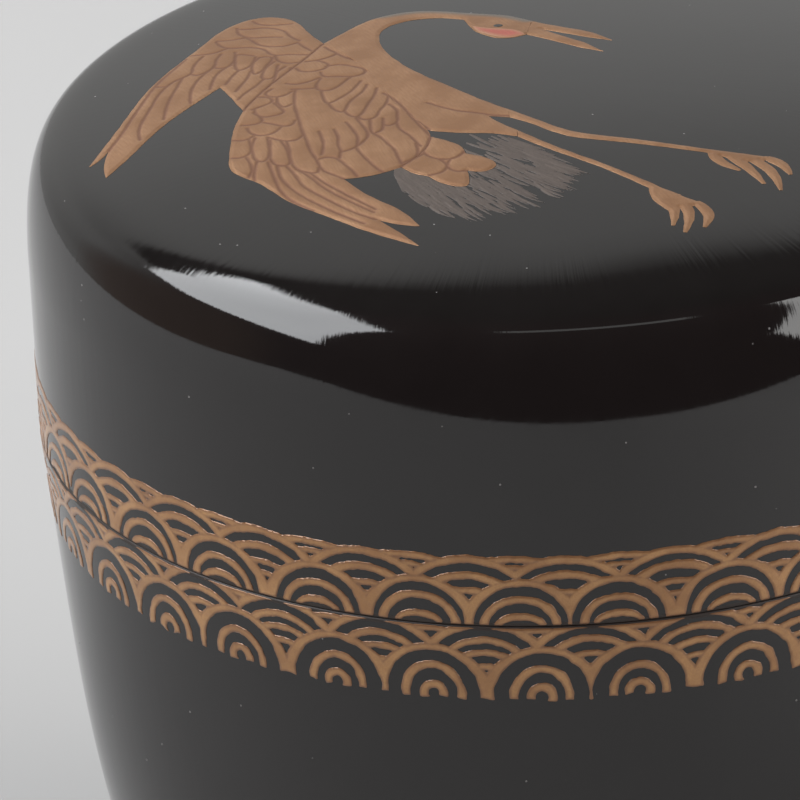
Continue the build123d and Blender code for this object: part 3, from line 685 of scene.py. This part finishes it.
COVERT_LINES = [
    [(-7.3, -8.6), (-7.6, -9.6), (-7.5, -10.5), (-6.9, -11.3), (-6.0, -11.6), (-5.3, -11.2), (-5.0, -10.6)],
    [(-8.8, -11.9), (-8.1, -11.2), (-7.5, -10.6)],
    [(-6.6, -11.5), (-6.1, -12.4), (-6.4, -13.3), (-7.2, -13.6)],
    [(-5.9, -11.7), (-6.0, -12.7), (-5.4, -13.3), (-4.85, -13.3)],
]
BODY_LINES = [
    [(-7.3, -3.2), (-6.25, -4.1), (-5.25, -4.75), (-4.1, -5.2), (-3.2, -5.6), (-2.1, -5.85)],
    [(-9.3, -3.4), (-8.7, -4.8), (-7.9, -6.0), (-7.2, -7.2)],
]
CRANE_STEP = 0.065
CRANE_LIFT = 0.07
CHEEK_RISE = 0.008          # how far the cheek and the eye stand above the gold under them
EYE_RISE = 0.012
GROOVE_REACH = 0.8          # a groove shapes the gold no farther away than this
LOWEST_LIFT = 0.015         # height of gold and pigment at their thinnest


def grid_over(loops, step):
    """Node lines of a grid that covers the loops, with a margin."""
    every = np.vstack(loops)
    low, high = every.min(0) - 3 * step, every.max(0) + 3 * step
    return np.arange(low[0], high[0], step), np.arange(low[1], high[1], step)


def nearby(xs, ys, points, margin):
    """The part of a grid that lies round some points."""
    low, high = np.min(points, 0) - margin, np.max(points, 0) + margin
    return np.ix_((ys > low[1]) & (ys < high[1]), (xs > low[0]) & (xs < high[0]))


def outer_outline(loops):
    """The short pieces of the loops that no other loop shares or covers."""
    kept = []
    for loop in loops:
        closed = np.vstack([loop, loop[:1]])
        middle = (closed[1:] + closed[:-1]) / 2
        free = np.hypot(*(closed[1:] - closed[:-1]).T) > 1e-6
        for other in loops:
            if other is not loop:
                free &= inside_distance(middle[:, 0], middle[:, 1], other) < -0.03
        kept += [closed[i:i + 2] for i in np.flatnonzero(free)]
    return kept


def field(name, loops, cuts=(), lines=(), tint=None, lift=CRANE_LIFT, rim=None, seed=70):
    """A low field of gold or pigment, engraved along its lines.

    rim is the outline that its height falls towards, its own if none is given."""
    xs, ys = grid_over(loops, CRANE_STEP)
    x, y = np.meshgrid(xs, ys)
    depth = np.max([inside_distance(x, y, loop) for loop in loops], axis=0)
    depth = depth + 0.02 * waviness(x, y, 1.4, seed)
    for cut in cuts:
        depth = np.minimum(depth, -inside_distance(x, y, cut))
    shore = depth
    if rim:
        shore = np.full(x.shape, FAR)
        for short in rim:
            shore = np.minimum(shore, line_distance(x, y, short))
    edge = np.minimum(np.maximum(shore, 0) + 0.2, 0.6)
    for line in lines:
        spot = nearby(xs, ys, line, GROOVE_REACH)
        edge[spot] = np.minimum(edge[spot], line_distance(x[spot], y[spot], smooth(line)))
    edge = edge + 0.015 * waviness(x, y, 0.8, seed + 1)
    height = lift * (0.35 + 0.4 * ramp(edge, 0.02, 0.2) + 0.25 * ramp(edge, 0.1, 0.5))
    height = np.maximum(height * (0.3 + 0.7 * ramp(shore, 0, 0.3)), LOWEST_LIFT)
    shade = tint(x, y) if tint else 0 * x
    streak = waviness(x * 1.9 + y * 0.75, y * 0.3, 0.36, seed + 2)
    marks = {"edge": edge, "barbs": streak, "tint": shade, "depth": depth}
    return relief(name, xs, ys, depth, height, on_lid_top, marks)


def blade(root, belly, tip, width, end=1.0):
    """A narrow curved blade through three points, and blunt where end is less than 1."""
    line = smooth([root, belly, tip], 6)
    along = np.gradient(line, axis=0)
    along /= np.hypot(*along.T)[:, None]
    side = np.stack([-along[:, 1], along[:, 0]], 1)
    half = width / 2 * np.sin(np.pi * np.linspace(0.12, end, len(line)) ** 0.7)[:, None]
    return np.vstack([line + side * half, (line - side * half)[::-1]])


toes = [blade(root, belly, tip, 0.78, 0.86) for root, belly, tip in TOES]
crane_parts = (
    FAR_WING, NEAR_WING, NECK_AND_BODY, TAIL_COVERTS, UPPER_SHANK, LOWER_SHANK, UPPER_BILL, LOWER_BILL,
)
crane_rim = outer_outline([loop_of(part) for part in crane_parts] + toes)
# Grooves that two fields share
WING_OVER_WING = FAR_WING[-1]
WING_OVER_BODY = [(-10.1, -1.2), (-9.6, -2.0), (-8.3, -5.2), (-7.1, -8.2)]
WING_OVER_COVERTS = NEAR_WING[-1][:1] + [(-7.6, -10.3), (-7.1, -8.2)]

# The middle of the grey stripe down the neck
NAPE = [(-10.2, 12.6), (-7.8, 13.0), (-4.5, 12.0), (-2.2, 11.15), (-0.9, 10.2)]


def nape_tint(x, y):
    """The grey stripe along the back of the neck and over the crown."""
    line = smooth(NAPE)
    return 0.9 * (1 - ramp(line_distance(x, y, line), 0.2, 0.85))


def legs():
    loops = [loop_of(UPPER_SHANK), loop_of(LOWER_SHANK)] + toes
    return field("crane_legs_and_toes", loops, [loop_of(NECK_AND_BODY)], rim=crane_rim)


PLUMES = 520
PLUME_ROOTS = ((-9.2, -12.7), (-7.4, -11.2), (-5.9, -8.6), (-3.2, -7.9), (-1.2, -9.0))
PLUME_TIPS = ((-8.6, -15.4), (-7.2, -17.6), (-4.9, -19.6), (-1.6, -19.3), (1.6, -17.0), (2.9, -14.3))
PLUME_STEEPEST = math.radians(-66)
PLUME_FLATTEST = math.radians(-37)


def plumes():
    """Hair-like tail plumes: fine strokes that sweep back and fan out a little."""
    hand = np.random.default_rng(9)
    roots, tips = smooth(PLUME_ROOTS, 12), smooth(PLUME_TIPS, 12)
    xs, ys = grid_over([roots, tips], CRANE_STEP)
    x, y = np.meshgrid(xs, ys)
    depth = np.full(x.shape, -1.0)
    ridge = np.zeros(x.shape)
    for _ in range(PLUMES):
        share = hand.uniform(0, 1)
        root = roots[int(share * (len(roots) - 1))]
        tip = tips[int(share * (len(tips) - 1))] + hand.uniform(-0.25, 0.25, 2)
        last = root + (tip - root) * hand.uniform(0.1, 1) ** 0.6
        heading = PLUME_STEEPEST + (PLUME_FLATTEST - PLUME_STEEPEST) * share + hand.uniform(-0.12, 0.12)
        ahead = np.array((math.cos(heading), math.sin(heading)))
        first = last - ahead * hand.uniform(1.6, 3.6)
        sag = np.array((-ahead[1], ahead[0])) * hand.uniform(0.0, 0.16)
        loop = blade(first, (first + last) / 2 - sag, last, hand.uniform(0.13, 0.27))
        spot = nearby(xs, ys, loop, 0.2)
        inside = inside_distance(x[spot], y[spot], loop)
        tone = hand.uniform(0.45, 1.0)
        ridge[spot] = np.where(inside > 0, tone * (0.4 + 0.6 * ramp(inside, 0, 0.12)), ridge[spot])
        depth[spot] = np.maximum(depth[spot], inside)
    body = np.vstack([roots, tips[::-1]])
    depth = np.minimum(depth, inside_distance(x, y, body) + 0.3)
    for cut in (TAIL_COVERTS, NECK_AND_BODY, LOWER_SHANK, NEAR_WING):
        depth = np.minimum(depth, -0.04 - inside_distance(x, y, loop_of(cut)))
    lift = LOWEST_LIFT + 0.035 * ridge * ramp(depth, 0, 0.08)
    return relief("crane_plumes", xs, ys, depth, lift, on_lid_top, {"barbs": ridge})


# ---------------------------------------------------------------- materials

class Graph:
    """A node tree, with short ways to add to it."""

    def __init__(self, tree):
        self.nodes = tree.nodes
        self.links = tree.links

    def put(self, socket, value):
        """Gives an input another node's output, a plain colour or a plain value."""
        if isinstance(value, bpy.types.NodeSocket):
            self.links.new(value, socket)
        elif socket.type == "RGBA":
            socket.default_value = (*value, 1)
        else:
            socket.default_value = value

    def fill(self, node, **inputs):
        """Gives a node its inputs by name, with _ for each space."""
        for name, value in inputs.items():
            self.put(node.inputs[name.replace("_", " ")], value)
        return node

    def add(self, kind, **inputs):
        return self.fill(self.nodes.new("ShaderNode" + kind), **inputs)

    def place(self):
        """The place of a point in the object's own space."""
        return self.add("TexCoord").outputs["Object"]

    def mark(self, name):
        """A value that the mesh carries."""
        node = self.add("Attribute")
        node.attribute_name = name
        return node.outputs["Fac"]

    def noise(self, scale, detail=3.0, rough=0.5, stretch=None):
        """A noise texture in the object's own space, stretched along an axis where asked."""
        place = self.place()
        if stretch:
            place = self.add("Mapping", Vector=place, Scale=stretch).outputs["Vector"]
        texture = self.add("TexNoise", Vector=place, Scale=scale, Detail=detail, Roughness=rough)
        return texture.outputs["Fac"]

    def rescale(self, value, low, high, to_low, to_high):
        """A value moved from one range to another, and held inside it."""
        node = self.add("MapRange", Value=value, From_Min=low, From_Max=high, To_Min=to_low, To_Max=to_high)
        return node.outputs["Result"]

    def mix(self, share, one, two):
        """A colour between two others; each is a socket or a plain colour."""
        node = self.add("Mix")
        node.data_type = "RGBA"
        return self.fill(node, Factor=share, A=one, B=two).outputs["Result"]

    def maths(self, kind, one, two, clamp=True):
        node = self.add("Math")
        node.operation = kind
        node.use_clamp = clamp
        self.put(node.inputs[0], one)
        self.put(node.inputs[1], two)
        return node.outputs["Value"]

    def bump(self, shader, height, strength, distance):
        node = self.add("Bump", Strength=strength, Distance=distance, Height=height)
        self.fill(shader, Normal=node.outputs["Normal"])


def material(name):
    """A new material, its graph and its shader."""
    made_of = bpy.data.materials.new(name)
    made_of.use_nodes = True
    look = Graph(made_of.node_tree)
    return made_of, look, look.nodes["Principled BSDF"]


SPECK_GRID = 900            # cells per metre, each with one speck at most
SPECK_SIZE = 0.062          # radius of a speck, in cells
WORN_EDGE = 0.3             # how far the wear reaches from the seam


def lacquer(name, rough, dust):
    """Polished black lacquer: faint mottling, fine polishing marks, a few dust specks, and
    a dull brown edge along the seam where it is worn."""
    made_of, look, shader = material(name)
    mottle = look.noise(260, 4.0, 0.6)
    place = look.place()
    parts = look.add("SeparateXYZ", Vector=place).outputs
    angle = look.maths("ARCTAN2", parts["Y"], parts["X"], clamp=False)
    polar = look.add("CombineXYZ", X=angle, Y=parts["Z"]).outputs["Vector"]
    marks = look.add("TexNoise", Vector=polar, Scale=75, Detail=3, Roughness=0.7).outputs["Fac"]
    specks = look.add("TexVoronoi", Vector=place, Scale=SPECK_GRID).outputs
    chosen = look.add("SeparateColor", Color=specks["Color"]).outputs["Red"]
    rare = look.maths("GREATER_THAN", chosen, 1 - dust)
    close = look.maths("LESS_THAN", specks["Distance"], SPECK_SIZE)
    speck = look.maths("MULTIPLY", rare, close)
    ground = look.mix(mottle, (0.0050, 0.0040, 0.0038), (0.0082, 0.0068, 0.0065))
    colour = look.mix(speck, ground, (0.17, 0.165, 0.16))
    above = look.maths("GREATER_THAN", parts["Z"], (SEAM_Z - WORN_EDGE) * MM)
    below = look.maths("LESS_THAN", parts["Z"], (SEAM_Z + WORN_EDGE) * MM)
    worn = look.maths("MULTIPLY", above, below)
    colour = look.mix(worn, colour, (0.016, 0.009, 0.006))
    haze = look.rescale(marks, 0.35, 0.7, rough * 0.7, rough * 1.6)
    haze = look.maths("ADD", haze, look.rescale(worn, 0, 1, 0, 0.5))
    haze = look.maths("ADD", haze, speck)
    look.fill(shader, Base_Color=colour, Roughness=haze, IOR=1.54)
    look.bump(shader, marks, 0.03, 0.0002)
    return made_of


def gold(name, pale, deep, groove, film):
    """Gold powder in lacquer: a fine grain, barbs along each feather, red-brown grooves, and
    clear lacquer over it where film is above zero."""
    made_of, look, shader = material(name)
    grain = look.noise(9000, 2.0, 0.7)
    patches = look.noise(380, 3.0, 0.6)
    base = look.mix(look.rescale(patches, 0.36, 0.62, 0, 1), pale, deep)
    base = look.mix(look.rescale(look.mark("barbs"), -0.6, 1.4, 0, 0.75), base, deep)
    base = look.mix(look.rescale(grain, 0.35, 0.65, 0.3, 0), base, groove)
    base = look.mix(look.rescale(look.mark("edge"), 0.05, 0.19, 0.78, 0), base, groove)
    base = look.mix(look.mark("tint"), base, (0.165, 0.15, 0.13))
    rough = look.rescale(grain, 0.3, 0.7, 0.42, 0.58)
    look.fill(shader, Base_Color=base, Metallic=0.55, Roughness=rough)
    look.fill(shader, Coat_Weight=film, Coat_Roughness=0.08)
    look.bump(shader, grain, 0.25, 0.00004)
    return made_of


def pigment(name, pale, deep, rough, fade=None):
    """Matte pigment or grey powder, streaked along its strokes; where fade is given, it
    thins to that colour at its edges."""
    made_of, look, shader = material(name)
    grain = look.noise(6000, 3.0, 0.7)
    base = look.mix(look.rescale(look.mark("barbs"), 0.0, 1.0, 0, 1), deep, pale)
    base = look.mix(look.rescale(grain, 0.35, 0.65, 0.35, 0), base, deep)
    if fade:
        base = look.mix(look.rescale(look.mark("depth"), 0, 0.4, 0.9, 0), base, fade)
    look.fill(shader, Base_Color=base, Roughness=rough)
    look.bump(shader, grain, 0.3, 0.00004)
    return made_of


def wood():
    """Plain turned wood with fine grain along the axis."""
    made_of, look, shader = material("turned_wood")
    grain = look.noise(120, 5.0, 0.6, (6, 6, 0.5))
    colour = look.mix(look.rescale(grain, 0.3, 0.7, 0, 1), (0.48, 0.31, 0.17), (0.62, 0.43, 0.26))
    look.fill(shader, Base_Color=colour, Roughness=0.6)
    look.bump(shader, grain, 0.2, 0.0002)
    return made_of


def dimmed(colour, share):
    return tuple(c * share for c in colour)


def paper(name, colour):
    """The studio floor: pale, matte and slightly uneven, with painted shadow darkening it round
    the caddy and painted light brightening it towards the right."""
    made_of, look, shader = material(name)
    clouded = look.mix(look.noise(6, 3.0, 0.5), colour, dimmed(colour, 0.97))
    place = look.place()
    away = look.add("VectorMath")
    away.operation = "LENGTH"
    look.put(away.inputs[0], place)
    # Painted shadow: the floor colour darkens towards the caddy's foot
    near = look.rescale(away.outputs["Value"], 0.045, 0.12, 0.8, 0)
    shaded = look.mix(near, clouded, dimmed(colour, 0.84))
    across = look.add("SeparateXYZ", Vector=place).outputs["X"]
    # Painted light: the floor colour brightens towards the right
    painted_light_share = look.rescale(across, 0.03, 0.12, 0, 1)
    base = look.mix(painted_light_share, shaded, dimmed(colour, 1.26))
    look.fill(shader, Base_Color=base, Roughness=0.9, Specular_IOR_Level=0.1)
    return made_of


def finish_piece(piece, body, slot_name, look, *nodes):
    """Gives a piece its material, body and the CAD nodes that it stands for; slot_name is not used."""
    piece.data.materials.clear()
    piece.data.materials.append(look)
    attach(piece, body)
    if nodes:
        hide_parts(*nodes)
    return piece


# ---------------------------------------------------------------- pieces

outer_lacquer = lacquer("black_lacquer", 0.05, 0.22)
inner_lacquer = lacquer("black_lacquer_inside", 0.09, 0.0)
crane_gold = gold(
    "crane_gold",
    pale=(0.375, 0.212, 0.113), deep=(0.28, 0.147, 0.072), groove=(0.17, 0.075, 0.045), film=0.0,
)
wave_gold = gold(
    "wave_gold",
    pale=(0.50, 0.272, 0.108), deep=(0.34, 0.168, 0.062), groove=(0.17, 0.075, 0.034), film=0.7,
)
red = pigment("red_pigment", (0.36, 0.085, 0.065), (0.3, 0.08, 0.055), 0.5, (0.30, 0.16, 0.09))
grey = pigment("grey_powder", (0.115, 0.09, 0.075), (0.05, 0.038, 0.032), 0.55)
black_dot = pigment("eye_black", (0.05, 0.045, 0.04), (0.02, 0.018, 0.016), 0.4)
timber = wood()

ledge = float(wall_radius(COAT, COAT))
foot_drop = SEAM_Z - WALL_END_Z
wood_inset = BODY_WALL - COAT
crown_inner = float(wall_radius(COAT, BODY_WALL))
crown_wood = float(wall_radius(COAT, wood_inset))
edge_radius = float(wall_radius(EDGE_ROUND))

lid_outer = turned(
    "lid_outer_coat",
    lid_line(0, 0, SEAM_Z + EDGE_ROUND)
    + quarter((RADIUS, SEAM_Z + EDGE_ROUND), (RADIUS, SEAM_Z), (RADIUS - EDGE_ROUND, SEAM_Z))[1:]
    + [(RADIUS - COAT, SEAM_Z)]
    + lid_line(COAT, COAT, SEAM_Z + COAT)[::-1],
)
finish_piece(lid_outer, "lid", "black_lacquer", outer_lacquer, "lid_outer_lacquer")

lid_inner = turned(
    "lid_inner_coat",
    lid_line(LID_WALL, LID_TOP, SEAM_Z)
    + [(RADIUS - COAT, SEAM_Z), (RADIUS - COAT, SEAM_Z + COAT)]
    + lid_line(LID_WALL - COAT, LID_TOP - COAT, SEAM_Z + COAT)[::-1],
)
finish_piece(lid_inner, "lid", "black_lacquer", inner_lacquer, "lid_inner_lacquer")

body_outer = turned(
    "body_outer_coat",
    [(ledge, SEAM_Z)]
    + quarter((RADIUS - EDGE_ROUND, SEAM_Z), (RADIUS, SEAM_Z), (edge_radius, SEAM_Z - EDGE_ROUND))
    + wall_line(0, EDGE_ROUND, foot_drop)[1:]
    + wall_line(COAT, COAT, foot_drop)[::-1],
)
finish_piece(body_outer, "body", "black_lacquer", outer_lacquer, "body_outer_lacquer")

body_inner = turned(
    "body_inner_coat",
    [(0.0, FLOOR_Z - COAT)]
    + chamber_line(wood_inset, FLOOR_Z - COAT)[::-1][1:]
    + lip_line(LIP_RADIUS - COAT, crown_wood, SEAM_Z - COAT)[::-1]
    + [(ledge, SEAM_Z - COAT), (ledge, SEAM_Z)]
    + lip_line(LIP_RADIUS, crown_inner, SEAM_Z)
    + chamber_line(BODY_WALL, FLOOR_Z),
)
finish_piece(body_inner, "body", "black_lacquer", inner_lacquer, "body_inner_lacquer")

foot = turned("foot_coat", foot_line(0) + foot_line(COAT)[::-1])
finish_piece(foot, "body", "black_lacquer", inner_lacquer, "foot_lacquer")

finish_piece(lid_waves(), "lid", "gold", wave_gold, "lid_wave_band")
finish_piece(body_waves(), "body", "gold", wave_gold, "body_wave_band")

# Each gold field: its name, the CAD node it stands for, outlines, cuts, grooves, tint and seed
near_grooves = NEAR_WING_LINES + [WING_OVER_WING, WING_OVER_BODY, WING_OVER_COVERTS]
gold_fields = (
    ("crane_far_wing_feathers", "crane_far_wing", [FAR_WING], [NEAR_WING],
     FAR_WING_LINES + [WING_OVER_WING], None, 21),
    ("crane_near_wing_feathers", "crane_near_wing", [NEAR_WING], [], near_grooves, None, 22),
    ("crane_covert_feathers", "crane_tail_coverts", [TAIL_COVERTS], [NEAR_WING],
     COVERT_LINES + [WING_OVER_COVERTS], None, 23),
    ("crane_neck_and_body_gold", "crane_neck_and_body", [NECK_AND_BODY], [NEAR_WING, FAR_WING],
     BODY_LINES + [WING_OVER_BODY], nape_tint, 70),
    ("crane_bill_halves", "crane_bill", [UPPER_BILL, LOWER_BILL], [NECK_AND_BODY], [], None, 70),
)
for name, node_name, outlines, cuts, grooves, tint, seed in gold_fields:
    loops = [loop_of(outline) for outline in outlines]
    cut_loops = [loop_of(cut) for cut in cuts]
    piece = field(name, loops, cut_loops, grooves, tint, rim=crane_rim, seed=seed)
    finish_piece(piece, "lid", "gold", crane_gold, node_name)

finish_piece(legs(), "lid", "gold", crane_gold, "crane_legs")
finish_piece(plumes(), "lid", "grey_lacquer", grey, "crane_tail_plumes")
cheek = field("crane_cheek_patch", [loop_of(CHEEK)], lift=CRANE_LIFT + CHEEK_RISE, rim=crane_rim)
finish_piece(cheek, "lid", "red_lacquer", red, "crane_cheek")
eye_turns = np.linspace(0, 2 * math.pi, 25)[:-1]
eye_loop = np.array(EYE_AT) + EYE_RADIUS * np.stack([np.cos(eye_turns), EYE_SQUASH * np.sin(eye_turns)], 1)
eye = field("crane_eye_dot", [eye_loop], lift=CRANE_LIFT + EYE_RISE, rim=crane_rim)
finish_piece(eye, "lid", "black_lacquer", black_dot, "crane_eye")

for node_name in ("body_core", "lid_core"):
    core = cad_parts[node_name]
    core.data.materials.clear()
    core.data.materials.append(timber)


# ---------------------------------------------------------------- camera, floor and light

CAMERA_DISTANCE = 13.029 * RADIUS * MM
CAMERA_ELEVATION = 0.4487   # radians
CAMERA_ROLL = -0.0448
CAMERA_LENS = 300.8         # millimetres, on a sensor this wide
SENSOR_WIDTH = 36.0
TARGET = (-0.298 * RADIUS * MM, 0.0, (SEAM_Z - 0.0155 * RADIUS) * MM)


def look_at(place, target, roll):
    """A camera matrix: at place, looking at target, turned about its own axis."""
    ahead = (Vector(target) - Vector(place)).normalized()
    right = ahead.cross(Vector((0, 0, 1))).normalized()
    over = right.cross(ahead)
    side = right * math.cos(roll) + over * math.sin(roll)
    top = over * math.cos(roll) - right * math.sin(roll)
    matrix = Matrix((side, top, -ahead)).transposed().to_4x4()
    matrix.translation = place
    return matrix


camera_data = bpy.data.cameras.new("camera")
camera_data.sensor_width = SENSOR_WIDTH
camera_data.lens = CAMERA_LENS
camera = bpy.data.objects.new("camera", camera_data)
bpy.context.scene.collection.objects.link(camera)
camera_place = Vector((
    0.0,
    -CAMERA_DISTANCE * math.cos(CAMERA_ELEVATION),
    CAMERA_DISTANCE * math.sin(CAMERA_ELEVATION) + SEAM_Z * MM,
))
camera.matrix_world = look_at(camera_place, TARGET, CAMERA_ROLL)
bpy.context.scene.camera = camera
bpy.context.scene.view_settings.view_transform = "Standard"


def staged(name, corners, faces, look):
    """A flat sheet of the room, which is no part of the caddy."""
    mesh = bpy.data.meshes.new(name)
    mesh.from_pydata(corners, [], faces)
    mesh.materials.append(look)
    sheet = bpy.data.objects.new(name, mesh)
    bpy.context.scene.collection.objects.link(sheet)
    return sheet


def flat_sheet(name, corners, height, look):
    """A level sheet from its corners."""
    return staged(name, [(x, y, height) for x, y in corners], [range(len(corners))], look)


# The tabletop ends in front of the caddy and to its left, so lacquer that faces those ways
# mirrors a dark room past its edge. The wider floor just under it is never mirrored.
TABLE = (
    (-0.335, -0.15), (-0.31, -0.205), (-0.24, -0.228), (0.05, -0.197),
    (0.2, -0.15), (1.6, -0.02), (1.6, 0.7), (-0.335, 0.7),
)
ROOM_HALF = 3.0
ROOM_DROP = 0.0003          # how far the floor lies under the tabletop
ROOM_FLOOR = (
    (-ROOM_HALF, -ROOM_HALF), (ROOM_HALF, -ROOM_HALF), (ROOM_HALF, ROOM_HALF), (-ROOM_HALF, ROOM_HALF),
)
floor_look = paper("floor_paper", (0.47, 0.466, 0.459))
flat_sheet("tabletop", TABLE, 0.0, floor_look)
floor = flat_sheet("floor", ROOM_FLOOR, -ROOM_DROP, floor_look)
floor.visible_glossy = False

SHOULDER_AT = Vector((0.0, 0.0, 0.065))


def softbox(name, directions, distance, colour, radiance):
    """A glowing panel the camera doesn't see, its corners given by direction from the lid."""
    corners = [SHOULDER_AT + Vector(d).normalized() * distance for d in directions]
    made_of, look, shader = material(name)
    look.nodes.remove(shader)
    glow = look.mix(look.noise(3, 2.0, 0.5), colour, dimmed(colour, 0.9))
    light = look.add("Emission", Strength=radiance, Color=glow)
    look.put(look.nodes["Material Output"].inputs["Surface"], light.outputs["Emission"])
    panel = staged(name, corners, [(0, i, i + 1) for i in range(1, len(corners) - 1)], made_of)
    panel.visible_camera = False
    panel.visible_shadow = False


softbox(
    "window_left",
    ((-0.75, -0.62, 0.20), (-0.87, -0.32, 0.38), (-0.90, -0.02, 0.43), (-0.80, 0.27, 0.54),
     (-0.52, 0.43, 0.74), (-0.21, 0.68, 0.70), (-0.33, 0.21, 0.92), (-0.44, -0.40, 0.80)),
    distance=1.4, colour=(0.955, 0.975, 1.0), radiance=7.6,
)
softbox(
    "window_right",
    ((0.80, -0.60, -0.02), (0.99, 0.05, 0.02), (0.70, 0.02, 0.71), (0.49, -0.075, 0.87),
     (0.73, -0.66, 0.17)),
    distance=1.4, colour=(1.0, 0.99, 0.98), radiance=4.6,
)
softbox(
    "ceiling_edge",
    ((-0.12, -0.31, 0.94), (0.32, -0.19, 0.93), (0.29, -0.09, 0.95), (-0.115, -0.22, 0.97)),
    distance=1.6, colour=(0.98, 0.99, 0.97), radiance=1.0,
)

# How bright the sweep behind the caddy is, by the sine of the elevation
SWEEP = (
    (0.0, 0.50), (0.31, 0.67), (0.42, 0.68), (0.52, 0.60),
    (0.60, 0.58), (0.622, 0.50), (0.645, 0.05),
)


def sky():
    """A pale sweep behind the caddy up to about forty degrees, lower on the right, a warm
    patch far on the left, and a dark room elsewhere."""
    world = bpy.data.worlds.new("studio")
    bpy.context.scene.world = world
    world.use_nodes = True
    room = Graph(world.node_tree)
    direction = room.add("TexCoord").outputs["Generated"]
    parts = room.add("SeparateXYZ", Vector=direction).outputs
    lean = room.rescale(parts["X"], 0.0, 0.2, 0, 0.08)
    sweep = room.add("ValToRGB", Fac=room.maths("ADD", parts["Z"], lean))
    ramp_stops = sweep.color_ramp.elements
    while len(ramp_stops) < len(SWEEP):
        ramp_stops.new(1.0)
    for stop, (place, level) in zip(ramp_stops, SWEEP):
        stop.position = place
        stop.color = (level, level, level * 0.985, 1)
    behind = room.rescale(parts["Y"], -0.02, 0.5, 0, 1)
    colour = room.mix(behind, (0.085, 0.06, 0.062), sweep.outputs["Color"])
    left = room.rescale(parts["X"], -0.84, -0.95, 0, 0.8)
    colour = room.mix(left, colour, (0.26, 0.185, 0.15))
    seen = room.add("LightPath").outputs["Is Camera Ray"]
    colour = room.mix(seen, colour, (0.62, 0.62, 0.62))
    room.fill(room.nodes["Background"], Color=colour)


sky()
